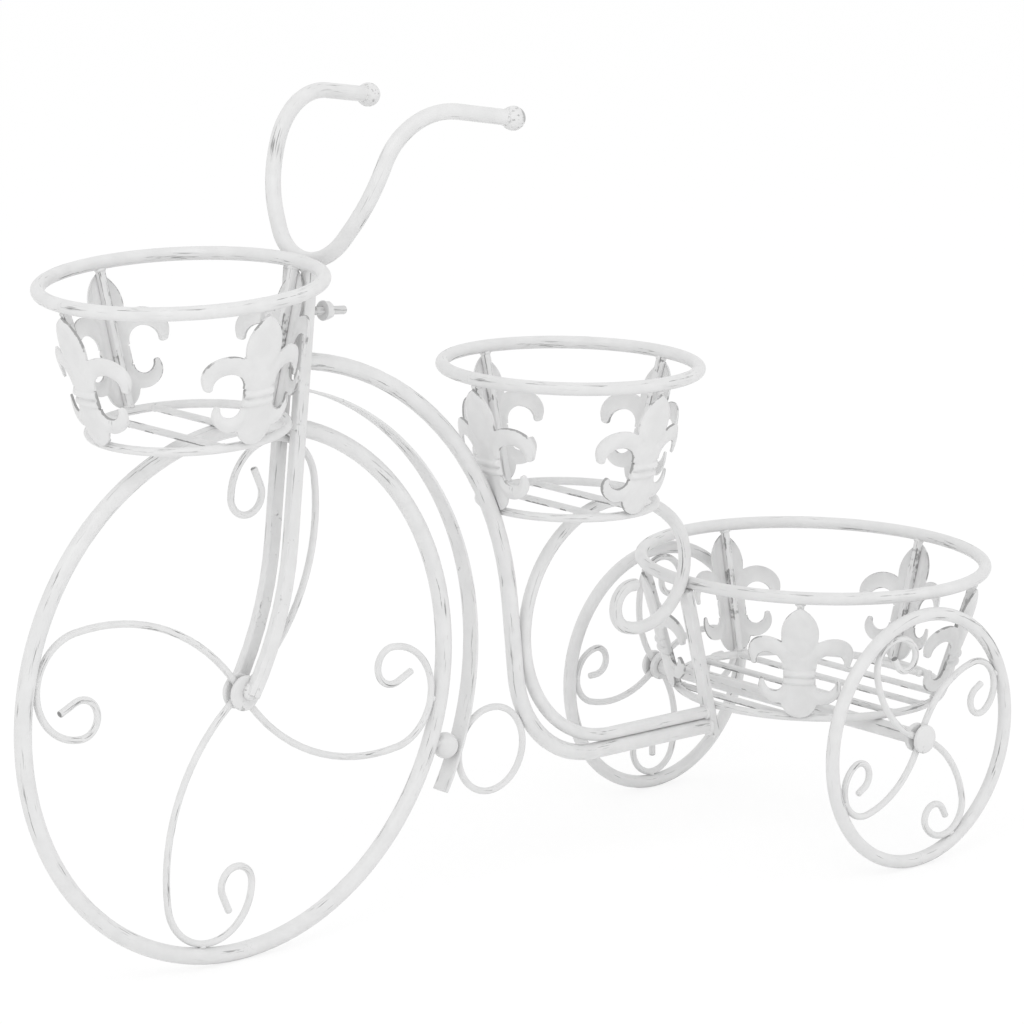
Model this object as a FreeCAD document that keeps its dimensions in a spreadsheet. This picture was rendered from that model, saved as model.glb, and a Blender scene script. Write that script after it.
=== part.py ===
import FreeCAD, Part
import math
import os
import re
import Sketcher

# A plant stand shaped like a small bicycle: a scrolled front wheel held between two flat
# fork bars, a bent frame tube, three ring baskets with stamped fleur-de-lis plates and a
# pair of rear wheels that turn together on one rod.
# X runs from the front wheel to the rear basket, Y across, Z up; the origin lies on the
# floor under the middle of the stand. Sizes are in millimetres and degrees, and a
# "reach" is measured along X from the front axle.

# Driving sizes: each is set here once, and everything else is worked out from them.
WELD_GAP = 0.05  # hairline left at each welded seam

# Front wheel
FRONT_WHEEL_RADIUS = 185  # front rim, middle of its tube
FRONT_RIM_TUBE = 12  # front rim tube
FRONT_HUB_WIDTH = 25  # front hub disc across
SPOKE_ROD = 5  # spoke rod
SPOKE_COUNT = 4  # spokes in a wheel
FRONT_SPOKE_ROOT = 4  # spoke start from the hub centre
FRONT_SPOKE_TURN = 35.7  # first spoke from the X axis
FRONT_CURL_RADIUS = 37  # spoke curl along the rim
FRONT_CURL_ANGLE = 43.5  # curl centre from the spoke's start
FRONT_CURL_SWEEP = 172  # curl's turn
FRONT_HOOK_RADIUS = 13.5  # spoke's end hook
FRONT_HOOK_SWEEP = 205  # hook's turn
FRONT_SPOKE_TAIL = 14  # straight end of the hook

# Rear wheels and their axle
REAR_WHEEL_RADIUS = 94  # rear rim, middle of its tube
REAR_RIM_TUBE = 10  # rear rim tube
REAR_WHEEL_SIDE = 140  # rear wheel's plane from the middle
REAR_HUB_WIDTH = 21.5  # rear hub disc across
REAR_HUB_DISC = 4  # rear hub disc's thickness
AXLE_ROD = 8  # rod that carries the rear wheels
AXLE_CLEARANCE = 0.05  # rod to tube, all round
AXLE_TUBE = 12  # tube under the rear basket
AXLE_END_PLAY = 0.4  # tube's end to the hub disc
NEAR_SPOKE_TURN = -20.4  # first near spoke from the X axis
FAR_SPOKE_TURN = -48  # first far spoke from the X axis
REAR_CURL_RADIUS = 21.6  # spoke curl along the rim
REAR_CURL_ANGLE = 43.8  # curl centre from the spoke's start
REAR_CURL_SWEEP = 157  # curl's turn
REAR_HOOK_RADIUS = 10.5  # spoke's end hook
REAR_HOOK_SWEEP = 185  # hook's turn
REAR_SPOKE_TAIL = 7.5  # straight end of the hook

# Fork
MAIN_TUBE = 12  # frame tube
BAR_WIDTH = 7  # fork bar across
BAR_DEPTH = 10  # fork bar front to back
BAR_LEAN = 4.3  # fork bar's backward lean
BAR_BEND_RADIUS = 234  # fork bar's forward bend
BAR_BEND_SWEEP = 26.7  # fork bar's turn at the foot
BAR_FOOT_REACH = 1.4  # fork bar's foot behind the axle
BAR_FOOT_DROP = 1.4  # fork bar's foot under the axle

# Handlebar
HANDLEBAR_TUBE = 11  # handlebar tube
HANDLEBAR_BASE_RISE = 71.6  # handlebar's lower corner over the front rim
HANDLEBAR_BASE_BEND = 41  # bend at that corner
HANDLEBAR_SET = 2.8  # that corner ahead of the bar tops
FLARE_BACK = 18.5  # second corner behind the first
FLARE_SIDE = 52.6  # second corner from the middle
FLARE_RISE = 75.6  # second corner over the first
FLARE_BEND = 100  # bend at the second corner
CROWN_BACK = 41.9  # top corner behind the first
CROWN_SIDE = 61.9  # top corner from the middle
CROWN_RISE = 140.4  # top corner over the first
CROWN_BEND = 50.7  # bend at the top corner
GRIP_BACK = 126.2  # grip end behind the first corner
GRIP_SIDE = 75.2  # grip end from the middle
GRIP_RISE = 127.3  # grip end over the first corner
GRIP_BALL = 17  # ball on a grip end

# Mudguard
MUDGUARD_GAP = 19  # front rim to the mudguard
MUDGUARD_SHEET = 2  # mudguard strip's thickness
MUDGUARD_WIDTH = 15  # mudguard strip across
MUDGUARD_TAIL_ANGLE = 29  # mudguard's tail under the axle's level
SPACER_ANGLE = 20.2  # ball under the axle's level

# Baskets
BASKET_ROD = 6  # lower ring rod of a basket
RING_TUBE = 9.5  # upper ring tube of a basket
FLOOR_ROD = 5  # floor rod of a basket
STAKE_WIDTH = 5  # basket stake across
FRONT_RING_RADIUS = 94.9  # front basket's upper ring
FRONT_BOTTOM_RADIUS = 66.7  # front basket's lower ring
FRONT_DEPTH = 98.6  # front basket between its rings
FRONT_TIP = 4.1  # front basket's forward tip
FRONT_HEAD_GAP = 3.1  # front basket to the handlebar
SEAT_RING_RADIUS = 92.4  # seat basket's upper ring
SEAT_BOTTOM_RADIUS = 64  # seat basket's lower ring
SEAT_DEPTH = 98.6  # seat basket between its rings
SMALL_FLOOR_PITCH = 40  # floor rods of the small baskets
REAR_RING_RADIUS = 131  # rear basket's upper ring
REAR_BOTTOM_RADIUS = 102  # rear basket's lower ring
REAR_DEPTH = 98  # rear basket between its rings
REAR_FLOOR_PITCH = 34.5  # floor rods of the rear basket
REAR_FLOOR_COUNT = 6  # floor rods of the rear basket
REAR_FLOOR_SHIFT = 6  # floor rods behind the basket's middle
SMALL_STAKE_COUNT = 4  # stakes of a small basket
REAR_STAKE_COUNT = 5  # stakes of the rear basket
FRONT_STAKE_TURN = -2.5  # first front stake from the X axis
REAR_STAKE_TURN = 4  # first rear stake from the X axis

# Frame tube and seat loop
MAIN_RUN_DROP = 15  # frame tube under the rear lower ring
MAIN_RUN_LENGTH = 118.5  # frame tube's level run
MAIN_BEND_OFFSET = 123.5  # lower bend's centre from the mudguard
MAIN_BEND_RADIUS = 80.8  # frame tube's lower bend
MAIN_BEND_SWEEP = 82.4  # frame tube's turn at the lower bend
MAIN_ARCH_OFFSET = 15.1  # upper arch's radius past the mudguard
MAIN_HEAD_GAP = 7.3  # frame tube's end over the mudguard
LOOP_TUBE = 9.5  # seat loop tube
LOOP_RADIUS = 88  # seat loop's large turn
LOOP_SWEEP = 220  # that turn
LOOP_INNER_RADIUS = 45  # seat loop's second turn
LOOP_INNER_SWEEP = 158  # that turn
LOOP_HOOK_RADIUS = 16  # seat loop's end hook
LOOP_HOOK_SWEEP = 178  # that turn

# Mudguard ring and hitch
GUARD_RING_ROD = 5  # ring between mudguard and frame
GUARD_RING_RADIUS = 31  # that ring, middle of its rod
HITCH_WIDTH = 10  # hitch bar across
HITCH_DEPTH = 7  # hitch bar front to back
HITCH_DROP = 22  # hitch bar past the rear lower ring
AXLE_FORWARD = 25.4  # rear axle ahead of the basket's middle

# Stamped plates
FLEUR_SHEET = 1.5  # stamped plate's thickness
FLEUR_WRAP = 65  # plate's bend round the basket, at its back face
FLEUR_DROP = 6.5  # plate's tip under the upper ring's middle
PETAL_WIDTH = 28  # middle petal across
PETAL_LENGTH = 46  # middle petal's length
SIDE_PETAL_RADIUS = 16.8  # side petal's outer arc
SIDE_PETAL_OUT = 22.2  # that arc's centre from the middle
SIDE_PETAL_DOWN = 44.6  # that arc's centre under the tip
SIDE_PETAL_HOLE = 10  # side petal's inner arc
SIDE_HOLE_OUT = 22.6  # that arc's centre from the middle
SIDE_HOLE_DOWN = 50.5  # that arc's centre under the tip
SIDE_TIP_DOWN = 51.5  # side petal's end under the tip
HOOK_RADIUS = 12.5  # lower hook's outer arc
HOOK_OUT = 18.3  # that arc's centre from the middle
HOOK_DOWN = 70.5  # that arc's centre under the tip
HOOK_HOLE = 7  # lower hook's inner arc
HOOK_HOLE_OUT = 19.6  # that arc's centre from the middle
HOOK_HOLE_DOWN = 65.8  # that arc's centre under the tip
HOOK_TIP_DOWN = 66  # lower hook's end under the tip
STEM_WIDTH = 20.5  # plate's waist
STEM_TOP = 38  # waist's start under the tip
BAND_RIDGE = 2.6  # band ridge's radius
BAND_WIDTH = 24  # band ridges across
BAND_UPPER_DOWN = 55.5  # upper band ridge under the tip
BAND_LOWER_DOWN = 62  # lower band ridge under the tip
TAIL_RADIUS = 13.3  # plate's round tail
TAIL_DOWN = 80.5  # tail's centre under the tip
FLEUR_TRIM_GAP = 0.3  # plate's cut edge to the frame tube

# Head bolt
STUD_ROD = 6  # stud on the front basket
STUD_Z = 450  # stud between the fork bars
STUD_TAIL = 14  # stud past its nut
WASHER_SET = 17  # washer behind the fork bars
WASHER_WIDTH = 14  # washer across
WASHER_SHEET = 1.6  # washer's thickness
NUT_WIDTH = 11  # nut across its flats
NUT_HEIGHT = 5  # nut's thickness
NUT_CLEARANCE = 0.05  # nut's and washer's bore to the stud

doc = FreeCAD.newDocument("bicycle_plant_stand")
sizes = doc.addObject("Spreadsheet::Sheet", "sizes")
aliases = []
nodes = []

BASKETS = ("front", "seat", "rear")
WHEELS = ("near", "far")
X_AXIS = FreeCAD.Vector(1, 0, 0)
Y_AXIS = FreeCAD.Vector(0, 1, 0)
Z_AXIS = FreeCAD.Vector(0, 0, 1)


# The sheet of sizes

def size(alias, text, note):
    """Write one named size, or a formula over named sizes, into the sheet."""
    row = len(aliases) + 1
    sizes.set(f"A{row}", note)
    sizes.set(f"B{row}", text)
    sizes.setAlias(f"B{row}", alias)
    aliases.append(alias)


def meeting_point(prefix, first, second, side, note):
    """Name the point where two circles meet; each circle is (reach, height, radius)."""
    (x_a, z_a, r_a), (x_b, z_b, r_b) = first, second
    size(f"{prefix}_span", f"=sqrt(({x_b} - ({x_a}))^2 + ({z_b} - ({z_a}))^2)", "between circle centres")
    size(f"{prefix}_along", f"=(({r_a})^2 - ({r_b})^2 + {prefix}_span^2) / (2 * {prefix}_span)", "along that line")
    size(f"{prefix}_aside", f"={side} * sqrt(({r_a})^2 - {prefix}_along^2)", "square to that line")
    across_x, across_z = f"(({x_b}) - ({x_a})) / {prefix}_span", f"(({z_b}) - ({z_a})) / {prefix}_span"
    size(f"{prefix}_reach", f"={x_a} + {prefix}_along * {across_x} - {prefix}_aside * {across_z}", note)
    size(f"{prefix}_z", f"={z_a} + {prefix}_along * {across_z} + {prefix}_aside * {across_x}", note)


for name, number in list(globals().items()):
    if name.isupper() and isinstance(number, (int, float)):
        size(name.lower(), str(number), name.replace("_", " ").lower())

size("front_axle_z", "=front_wheel_radius + front_rim_tube / 2", "front axle above the floor")

size("front_rim_inside", "=front_wheel_radius - front_rim_tube / 2", "inside of the front rim")

size("rear_axle_z", "=rear_wheel_radius + rear_rim_tube / 2", "rear axle above the floor")

size("rear_spoke_root", "=axle_rod / 2 + weld_gap", "spoke start from the hub centre")
size("rear_rim_inside", "=rear_wheel_radius - rear_rim_tube / 2", "inside of a rear rim")

# A spoke leaves the hub on a wide arc that runs into the curl, which lies on the rim.
for wheel in ("front", "rear"):
    curl = f"{wheel}_curl"
    size(f"{curl}_reach", f"={wheel}_rim_inside - spoke_rod / 2 - weld_gap - {curl}_radius", "curl centre from hub")
    size(f"{curl}_along", f"={curl}_reach * cos({curl}_angle) - {wheel}_spoke_root", "curl centre along the start")
    size(f"{curl}_aside", f"={curl}_reach * sin({curl}_angle)", "curl centre beside the start")
    size(f"{wheel}_arm_radius",
         f"=({curl}_along^2 + {curl}_aside^2 - {curl}_radius^2) / (2 * ({curl}_aside - {curl}_radius))",
         "wide arc that meets the curl")
    size(f"{wheel}_arm_sweep", f"=atan2({curl}_aside - {wheel}_arm_radius; {curl}_along) / 1 deg + 90",
         "wide arc's turn")

size("bar_inside", "=main_tube / 2 + weld_gap", "inner face of a fork bar")
size("front_hub_disc", "=bar_inside - spoke_rod / 2 - 2 * weld_gap", "front hub disc's thickness")

size("handlebar_base_z", "=front_axle_z + front_wheel_radius + front_rim_tube / 2 + handlebar_base_rise",
     "handlebar's lower corner over the floor")
size("handlebar_slope", "=sqrt(flare_back^2 + flare_rise^2)", "second corner up the bar's plane")
size("handlebar_cut", "=handlebar_base_bend * (sqrt(flare_side^2 + handlebar_slope^2) / flare_side - 1)",
     "lower corner to the bend")
size("handlebar_low_z", "=handlebar_base_z + handlebar_cut * flare_rise / handlebar_slope", "lowest of the tube")

size("bar_top_z", "=handlebar_low_z - handlebar_tube / 2 - weld_gap", "top of the fork bars")
size("bar_straight",
     "=(bar_top_z - front_axle_z + bar_foot_drop - bar_bend_radius"
     " * (sin(bar_lean + bar_bend_sweep) - sin(bar_lean))) / cos(bar_lean)", "fork bar's straight run")
size("bar_top_reach",
     "=bar_foot_reach + bar_bend_radius * (cos(bar_lean) - cos(bar_lean + bar_bend_sweep))"
     " + bar_straight * sin(bar_lean)", "top of the fork bars")
size("bar_line", "=bar_top_reach * cos(bar_lean) - (bar_top_z - front_axle_z) * sin(bar_lean)",
     "fork bar's middle line from the axle")
size("handlebar_base_reach", "=bar_top_reach - handlebar_set", "handlebar's lower corner")
size("handlebar_low_reach", "=handlebar_base_reach + handlebar_cut * flare_back / handlebar_slope",
     "lowest of the tube")

size("mudguard_inside", "=front_wheel_radius + front_rim_tube / 2 + mudguard_gap", "mudguard's inner radius")
size("mudguard_outside", "=mudguard_inside + mudguard_sheet", "mudguard's outer radius")
size("mudguard_head_angle",
     "=90 - bar_lean - asin((bar_line + bar_depth / 2 + weld_gap) / mudguard_inside) / 1 deg",
     "mudguard's end on the fork bars")
size("spacer_ball", "=mudguard_gap - 2 * weld_gap", "ball between rim and mudguard")

size("stake_depth", "=basket_rod", "basket stake in and out")
for basket in BASKETS:
    size(f"{basket}_lean", f"=atan2({basket}_ring_radius - {basket}_bottom_radius; {basket}_depth) / 1 deg",
         "stake's lean")
    size(f"{basket}_stake_run", f"={basket}_depth / cos({basket}_lean)", "stake between ring centres")
size("rear_bottom_z", "=rear_axle_z + axle_tube / 2 + basket_rod / 2 + weld_gap", "rear lower ring on the tube")
size("rear_basket_z", "=rear_bottom_z + rear_depth", "rear upper ring")

size("main_run_z", "=rear_bottom_z - main_run_drop", "frame tube's level run")
size("main_bend_reach", "=mudguard_outside + main_bend_offset", "lower bend's centre")
size("main_bend_z", "=main_run_z + main_bend_radius", "lower bend's centre")
size("main_arch_radius", "=mudguard_outside + main_arch_offset", "frame tube's upper arch")
size("main_head_z", "=front_axle_z + mudguard_outside + main_tube / 2 + main_head_gap", "frame tube's end")
size("main_head_reach", "=bar_top_reach - (bar_top_z - main_head_z) * tan(bar_lean)", "frame tube's end")
size("main_rise_reach", "=main_bend_reach - main_bend_radius * sin(main_bend_sweep)", "start of the straight rise")
size("main_rise_z", "=main_bend_z - main_bend_radius * cos(main_bend_sweep)", "start of the straight rise")
size("main_chord_x", "=main_head_reach - main_rise_reach + main_arch_radius * sin(main_bend_sweep)",
     "rise's start to the end, less the arch")
size("main_chord_z", "=main_head_z - main_rise_z + main_arch_radius * cos(main_bend_sweep)",
     "rise's start to the end, less the arch")
size("main_chord_along", "=main_chord_z * sin(main_bend_sweep) - main_chord_x * cos(main_bend_sweep)",
     "that line along the rise")
size("main_rise",
     "=main_chord_along - sqrt(main_chord_along^2 - main_chord_x^2 - main_chord_z^2 + main_arch_radius^2)",
     "straight rise that lets the arch end between the bars")
size("main_arch_reach",
     "=main_rise_reach - main_rise * cos(main_bend_sweep) - main_arch_radius * sin(main_bend_sweep)",
     "arch's centre")
size("main_arch_z", "=main_rise_z + main_rise * sin(main_bend_sweep) - main_arch_radius * cos(main_bend_sweep)",
     "arch's centre")
size("main_arch_sweep",
     "=atan2(main_head_z - main_arch_z; main_head_reach - main_arch_reach) / 1 deg - 90 + main_bend_sweep",
     "arch's turn")

size("loop_run_z", "=main_run_z + main_tube / 2 + loop_tube / 2 + weld_gap", "loop's run on the frame tube")
size("loop_centre_z", "=loop_run_z + loop_radius", "large turn's centre")
size("loop_bearing", "=main_tube / 2 + loop_tube / 2 + weld_gap + loop_radius", "large turn's centre to the rise")
size("loop_centre_reach",
     "=main_rise_reach + (loop_bearing - (loop_centre_z - main_rise_z) * cos(main_bend_sweep))"
     " / sin(main_bend_sweep)", "large turn's centre")

size("guard_ring_outside", "=guard_ring_radius + guard_ring_rod / 2 + weld_gap", "that ring's outer radius")
meeting_point("guard_ring",
              ("0", "front_axle_z", "mudguard_outside + guard_ring_outside"),
              ("main_bend_reach", "main_bend_z", "main_bend_radius + main_tube / 2 + guard_ring_outside"),
              "-1", "centre of the ring between mudguard and frame")

# The seat basket's lower ring lies on the frame's arch in front and on the loop behind.
meeting_point("seat_rest",
              ("main_arch_reach", "main_arch_z", "main_arch_radius + main_tube / 2 + basket_rod / 2 + weld_gap"),
              ("loop_centre_reach - 2 * seat_bottom_radius", "loop_centre_z",
               "loop_radius + loop_tube / 2 + basket_rod / 2 + weld_gap"),
              "1", "front of the seat basket's lower ring")
size("seat_basket_reach", "=seat_rest_reach + seat_bottom_radius", "seat basket's middle")
size("seat_basket_z", "=seat_rest_z + seat_depth", "seat basket's upper ring")

# The front basket's floor rod lies on the front rim, and its upper ring stops at the handlebar.
size("front_basket_reach",
     "=handlebar_low_reach - handlebar_tube / 2 - ring_tube / 2 - front_head_gap"
     " - front_ring_radius * cos(front_tip)", "front basket's upper ring")
size("front_bottom_reach", "=front_basket_reach + front_depth * sin(front_tip)", "front basket's lower ring")
size("front_rest_reach", "=front_bottom_reach + small_floor_pitch / 2 * cos(front_tip)", "floor rod on the rim")
size("front_rest_z",
     "=front_axle_z + sqrt((front_wheel_radius + front_rim_tube / 2 + floor_rod / 2 + weld_gap)^2"
     " - front_rest_reach^2)", "floor rod on the rim")
size("front_bottom_z", "=front_rest_z - small_floor_pitch / 2 * sin(front_tip)", "front basket's lower ring")
size("front_basket_z", "=front_bottom_z + front_depth * cos(front_tip)", "front basket's upper ring")

size("hitch_inside", "=basket_rod / 2 + weld_gap", "hitch bar's inner face from the stake line")
size("hitch_outside", "=hitch_inside + hitch_depth", "hitch bar's outer face from the stake line")
size("hitch_top", "=sqrt((ring_tube / 2 + 2 * weld_gap)^2 - hitch_inside^2)", "hitch bar's top under the upper ring")
size("rear_basket_reach",
     "=main_bend_reach + main_run_length + rear_ring_radius"
     " - (rear_basket_z - main_run_z) * tan(rear_lean) + hitch_outside / cos(rear_lean)", "rear basket's middle")

size("front_axle_x",
     "=(front_wheel_radius + front_rim_tube / 2 - rear_basket_reach - rear_ring_radius - ring_tube / 2) / 2",
     "front axle, with the stand's middle at zero")
size("front_basket_x", "=front_axle_x + front_basket_reach", "front basket")
size("seat_basket_x", "=front_axle_x + seat_basket_reach", "seat basket")
size("rear_basket_x", "=front_axle_x + rear_basket_reach", "rear basket")
size("rear_axle_x", "=rear_basket_x - axle_forward", "rear axle")
size("frame_end_x", "=front_axle_x + main_bend_reach + main_run_length + hitch_depth", "tubes before the hitch cut")
size("main_run", "=frame_end_x - front_axle_x - main_bend_reach", "level run before the hitch cut")
size("loop_run", "=frame_end_x - front_axle_x - loop_centre_reach", "loop's run before the hitch cut")

size("petal_arc", "=(petal_length^2 + petal_width^2) / (4 * petal_width)", "middle petal's side arcs")
size("fleur_block", "=fleur_wrap + fleur_sheet", "plate's outer radius")
size("fleur_seat", "=stake_depth / 2 + weld_gap + fleur_wrap - sqrt(fleur_wrap^2 - (stake_width / 2)^2)",
     "plate's back from the stake line")

doc.recompute()
FULL_TURN = math.degrees(math.tau)
QUARTER_TURN = FULL_TURN / 4


# Small helpers

def value(alias):
    """Return the present value of a named size."""
    return float(sizes.get(alias))


def bound(text):
    """Return an expression with each named size pointed at the sheet."""
    return re.sub(r"[a-z_]+", lambda m: "sizes." + m[0] if m[0] in aliases else m[0], text)


def bind(part, **properties):
    """Tie properties of a part to the sheet; a double underscore stands for a dot."""
    for name, text in properties.items():
        part.setExpression(name.replace("__", "."), bound(text))
    return part


def add(kind, name, **properties):
    """Add a parametric Part object whose properties are tied to the sheet."""
    return bind(doc.addObject(f"Part::{kind}", name), **properties)


def place(x="0", y="0", z="0", axis="0; 0; 1", angle="0"):
    """Return the text of a placement."""
    return f"placement(vector({x}; {y}; {z}); rotation(vector({axis}); {angle}))"


def node(part, label):
    """Give a finished piece its own name."""
    part.Label = label
    nodes.append(part)
    return part


def group(label, pieces, placement=None):
    """Collect equal pieces in one named compound."""
    compound = doc.addObject("Part::Compound", label + "_set")
    compound.Links = pieces
    if placement:
        bind(compound, Placement=placement)
    return compound


def cut(name, base, tool):
    """Take one piece away from another."""
    result = doc.addObject("Part::Cut", name)
    result.Base, result.Tool = base, tool
    return result


def common(name, base, tool):
    """Keep what two pieces share."""
    result = doc.addObject("Part::Common", name)
    result.Base, result.Tool = base, tool
    return result


def cross_rod(name, diameter, start, length, x, z):
    """Add a round bar that lies across the stand, from the Y of its start."""
    return add("Cylinder", name, Radius=f"({diameter}) / 2", Height=length,
               Placement=place(x, start, z, "1; 0; 0", "-90"))


# Bent tubes: a chain of straight runs and arcs, each tangent to the one before

def origin_feature(body, role):
    """Return one of a body's own origin planes or axes."""
    return next(part for part in body.Origin.OriginFeatures if part.Role == role)


def sketch_on(body, role, name):
    """Add a sketch on one of a body's own origin planes."""
    sketch = body.newObject("Sketcher::SketchObject", name)
    sketch.AttachmentSupport = [(origin_feature(body, role), "")]
    sketch.MapMode = "FlatFace"
    return sketch


def constrain(sketch, text, *arguments):
    """Add a dimension whose value is tied to a named size."""
    degrees = arguments[0] == "Angle"
    number = math.radians(value(text)) if degrees else value(text)
    index = sketch.addConstraint(Sketcher.Constraint(*arguments, number))
    sketch.setExpression(f"Constraints[{index}]", bound(text) + (" * 1 deg" if degrees else ""))


def anchor(sketch, item, point, along, up):
    """Fix a point of a sketch; None keeps it on that axis."""
    if along is None and up is None:
        sketch.addConstraint(Sketcher.Constraint("Coincident", item, point, -1, 1))
        return
    if along is None:
        sketch.addConstraint(Sketcher.Constraint("PointOnObject", item, point, -2))
    else:
        constrain(sketch, along, "DistanceX", -1, 1, item, point)
    if up is None:
        sketch.addConstraint(Sketcher.Constraint("PointOnObject", item, point, -1))
    else:
        constrain(sketch, up, "DistanceY", -1, 1, item, point)


def bent_line(body, name, along, up, heading, runs):
    """Sketch a chain of runs: ("line", length) or ("arc", radius, sweep, turn to the left or right)."""
    sketch = sketch_on(body, "XZ_Plane", name)
    here = FreeCAD.Vector(value(along) if along else 0, value(up) if up else 0, 0)
    angle = math.radians(heading)
    last = None
    for run in runs:
        forward = FreeCAD.Vector(math.cos(angle), math.sin(angle), 0)
        if run[0] == "line":
            there = here + forward * value(run[1])
            item = sketch.addGeometry(Part.LineSegment(here, there), False)
            first, second = 1, 2
            constrain(sketch, run[1], "Distance", item)
            if last is None:
                sketch.addConstraint(Sketcher.Constraint("Horizontal" if abs(forward.x) > 0.5 else "Vertical", item))
        else:
            radius, sweep, turn = value(run[1]), math.radians(value(run[2])), run[3]
            centre = here + FreeCAD.Vector(-forward.y, forward.x, 0) * (turn * radius)
            begin = angle - turn * math.pi / 2
            end = begin + turn * sweep
            circle = Part.Circle(centre, Z_AXIS, radius)
            item = sketch.addGeometry(Part.ArcOfCircle(circle, min(begin, end), max(begin, end)), False)
            first, second = (1, 2) if turn > 0 else (2, 1)
            constrain(sketch, run[1], "Radius", item)
            constrain(sketch, run[2], "Angle", item)
            if last is None:
                sketch.addConstraint(Sketcher.Constraint("Vertical", item, 3, item, first))
            there = centre + FreeCAD.Vector(math.cos(end), math.sin(end), 0) * radius
            angle += turn * sweep
        if last is None:
            anchor(sketch, item, first, along, up)
        else:
            sketch.addConstraint(Sketcher.Constraint("Tangent", last[0], last[1], item, first))
        last, here = (item, second), there
    return sketch


def round_section(body, name, diameter, along, up):
    """Sketch a tube's round section, square to the X axis."""
    sketch = sketch_on(body, "YZ_Plane", name)
    if along:
        bind(sketch, AttachmentOffset__Base__z=along)
    centre = FreeCAD.Vector(0, value(up) if up else 0, 0)
    item = sketch.addGeometry(Part.Circle(centre, Z_AXIS, value(diameter) / 2), False)
    constrain(sketch, diameter, "Diameter", item)
    anchor(sketch, item, 3, None, up)
    return sketch


def sweep(body, name, section, line):
    """Carry a section along a bent line."""
    pipe = body.newObject("PartDesign::AdditivePipe", name)
    pipe.Profile = section
    pipe.Spine = (line, [])
    body.Tip = pipe
    return pipe


def bent_tube(name, diameter, along, up, heading, runs):
    """Make a bent tube in the stand's own plane."""
    body = doc.addObject("PartDesign::Body", name)
    line = bent_line(body, name + "_line", along, up, heading, runs)
    sweep(body, name + "_sweep", round_section(body, name + "_section", diameter, along, up), line)
    return body


# Wheels

def rim(label, radius, tube, x, y, z):
    """Make a wheel's round rim."""
    return node(add("Torus", label, Radius1=radius, Radius2=f"{tube} / 2",
                    Placement=place(x, y, z, "1; 0; 0", "90")), label)


def spokes(label, wheel, turn, x, y, z, first):
    """Make a wheel's scrolled spokes, which all turn the same way."""
    body = bent_tube(label, "spoke_rod", f"{wheel}_spoke_root", None, 0, [
        ("arc", f"{wheel}_arm_radius", f"{wheel}_arm_sweep", turn),
        ("arc", f"{wheel}_curl_radius", f"{wheel}_curl_sweep", turn),
        ("arc", f"{wheel}_hook_radius", f"{wheel}_hook_sweep", turn),
        ("line", f"{wheel}_spoke_tail")])
    pattern = body.newObject("PartDesign::PolarPattern", label + "_pattern")
    pattern.Originals = [body.Tip]
    pattern.Axis = (origin_feature(body, "Y_Axis"), [""])
    pattern.Angle = FULL_TURN
    bind(pattern, Occurrences="spoke_count")
    body.Tip = pattern
    return node(bind(body, Placement=place(x, y, z, "0; -1; 0", first)), label)


def front_wheel():
    """Make the front rim, its spokes and the two discs that hold them."""
    rim("front_rim", "front_wheel_radius", "front_rim_tube", "front_axle_x", "0", "front_axle_z")
    spokes("front_spokes", "front", 1, "front_axle_x", "0", "front_axle_z", "front_spoke_turn")
    starts = {"near": "-spoke_rod / 2 - weld_gap - front_hub_disc", "far": "spoke_rod / 2 + weld_gap"}
    discs = [cross_rod(f"front_hub_{side}", "front_hub_width", start, "front_hub_disc",
                       "front_axle_x", "front_axle_z") for side, start in starts.items()]
    node(group("front_hub", discs), "front_hub_discs")


def rear_wheels():
    """Make the rear wheels, the rod that they share and the tube that it turns in."""
    for side, sign in zip(WHEELS, ("-", "")):
        plane = f"{sign}rear_wheel_side"
        rim(f"{side}_rim", "rear_wheel_radius", "rear_rim_tube", "rear_axle_x", plane, "rear_axle_z")
        spokes(f"{side}_spokes", "rear", -1, "rear_axle_x", plane, "rear_axle_z", f"{side}_spoke_turn")
        low, high = f"{plane} - spoke_rod / 2 - weld_gap - rear_hub_disc", f"{plane} + spoke_rod / 2 + weld_gap"
        inner_start, outer_start = (high, low) if sign else (low, high)
        inner = cross_rod(f"{side}_inner_blank", "rear_hub_width", inner_start, "rear_hub_disc",
                          "rear_axle_x", "rear_axle_z")
        bore = cross_rod(f"{side}_hub_bore", "axle_rod + 2 * weld_gap", inner_start, "rear_hub_disc",
                         "rear_axle_x", "rear_axle_z")
        outer = cross_rod(f"{side}_outer_disc", "rear_hub_width", outer_start, "rear_hub_disc",
                          "rear_axle_x", "rear_axle_z")
        node(group(f"{side}_hub", [cut(f"{side}_inner_disc", inner, bore), outer]), f"{side}_hub_discs")
    node(cross_rod("axle_rod", "axle_rod", "-rear_wheel_side - spoke_rod / 2", "2 * rear_wheel_side + spoke_rod",
                   "rear_axle_x", "rear_axle_z"), "axle_rod")
    half = "(rear_wheel_side - spoke_rod / 2 - weld_gap - rear_hub_disc - axle_end_play)"
    blank = cross_rod("axle_tube_blank", "axle_tube", f"-{half}", f"2 * {half}", "rear_axle_x", "rear_axle_z")
    bore = cross_rod("axle_tube_bore", "axle_rod + 2 * axle_clearance", f"-{half}", f"2 * {half}",
                     "rear_axle_x", "rear_axle_z")
    node(cut("axle_tube_cut", blank, bore), "axle_tube")


# Fork, handlebar and frame

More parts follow.
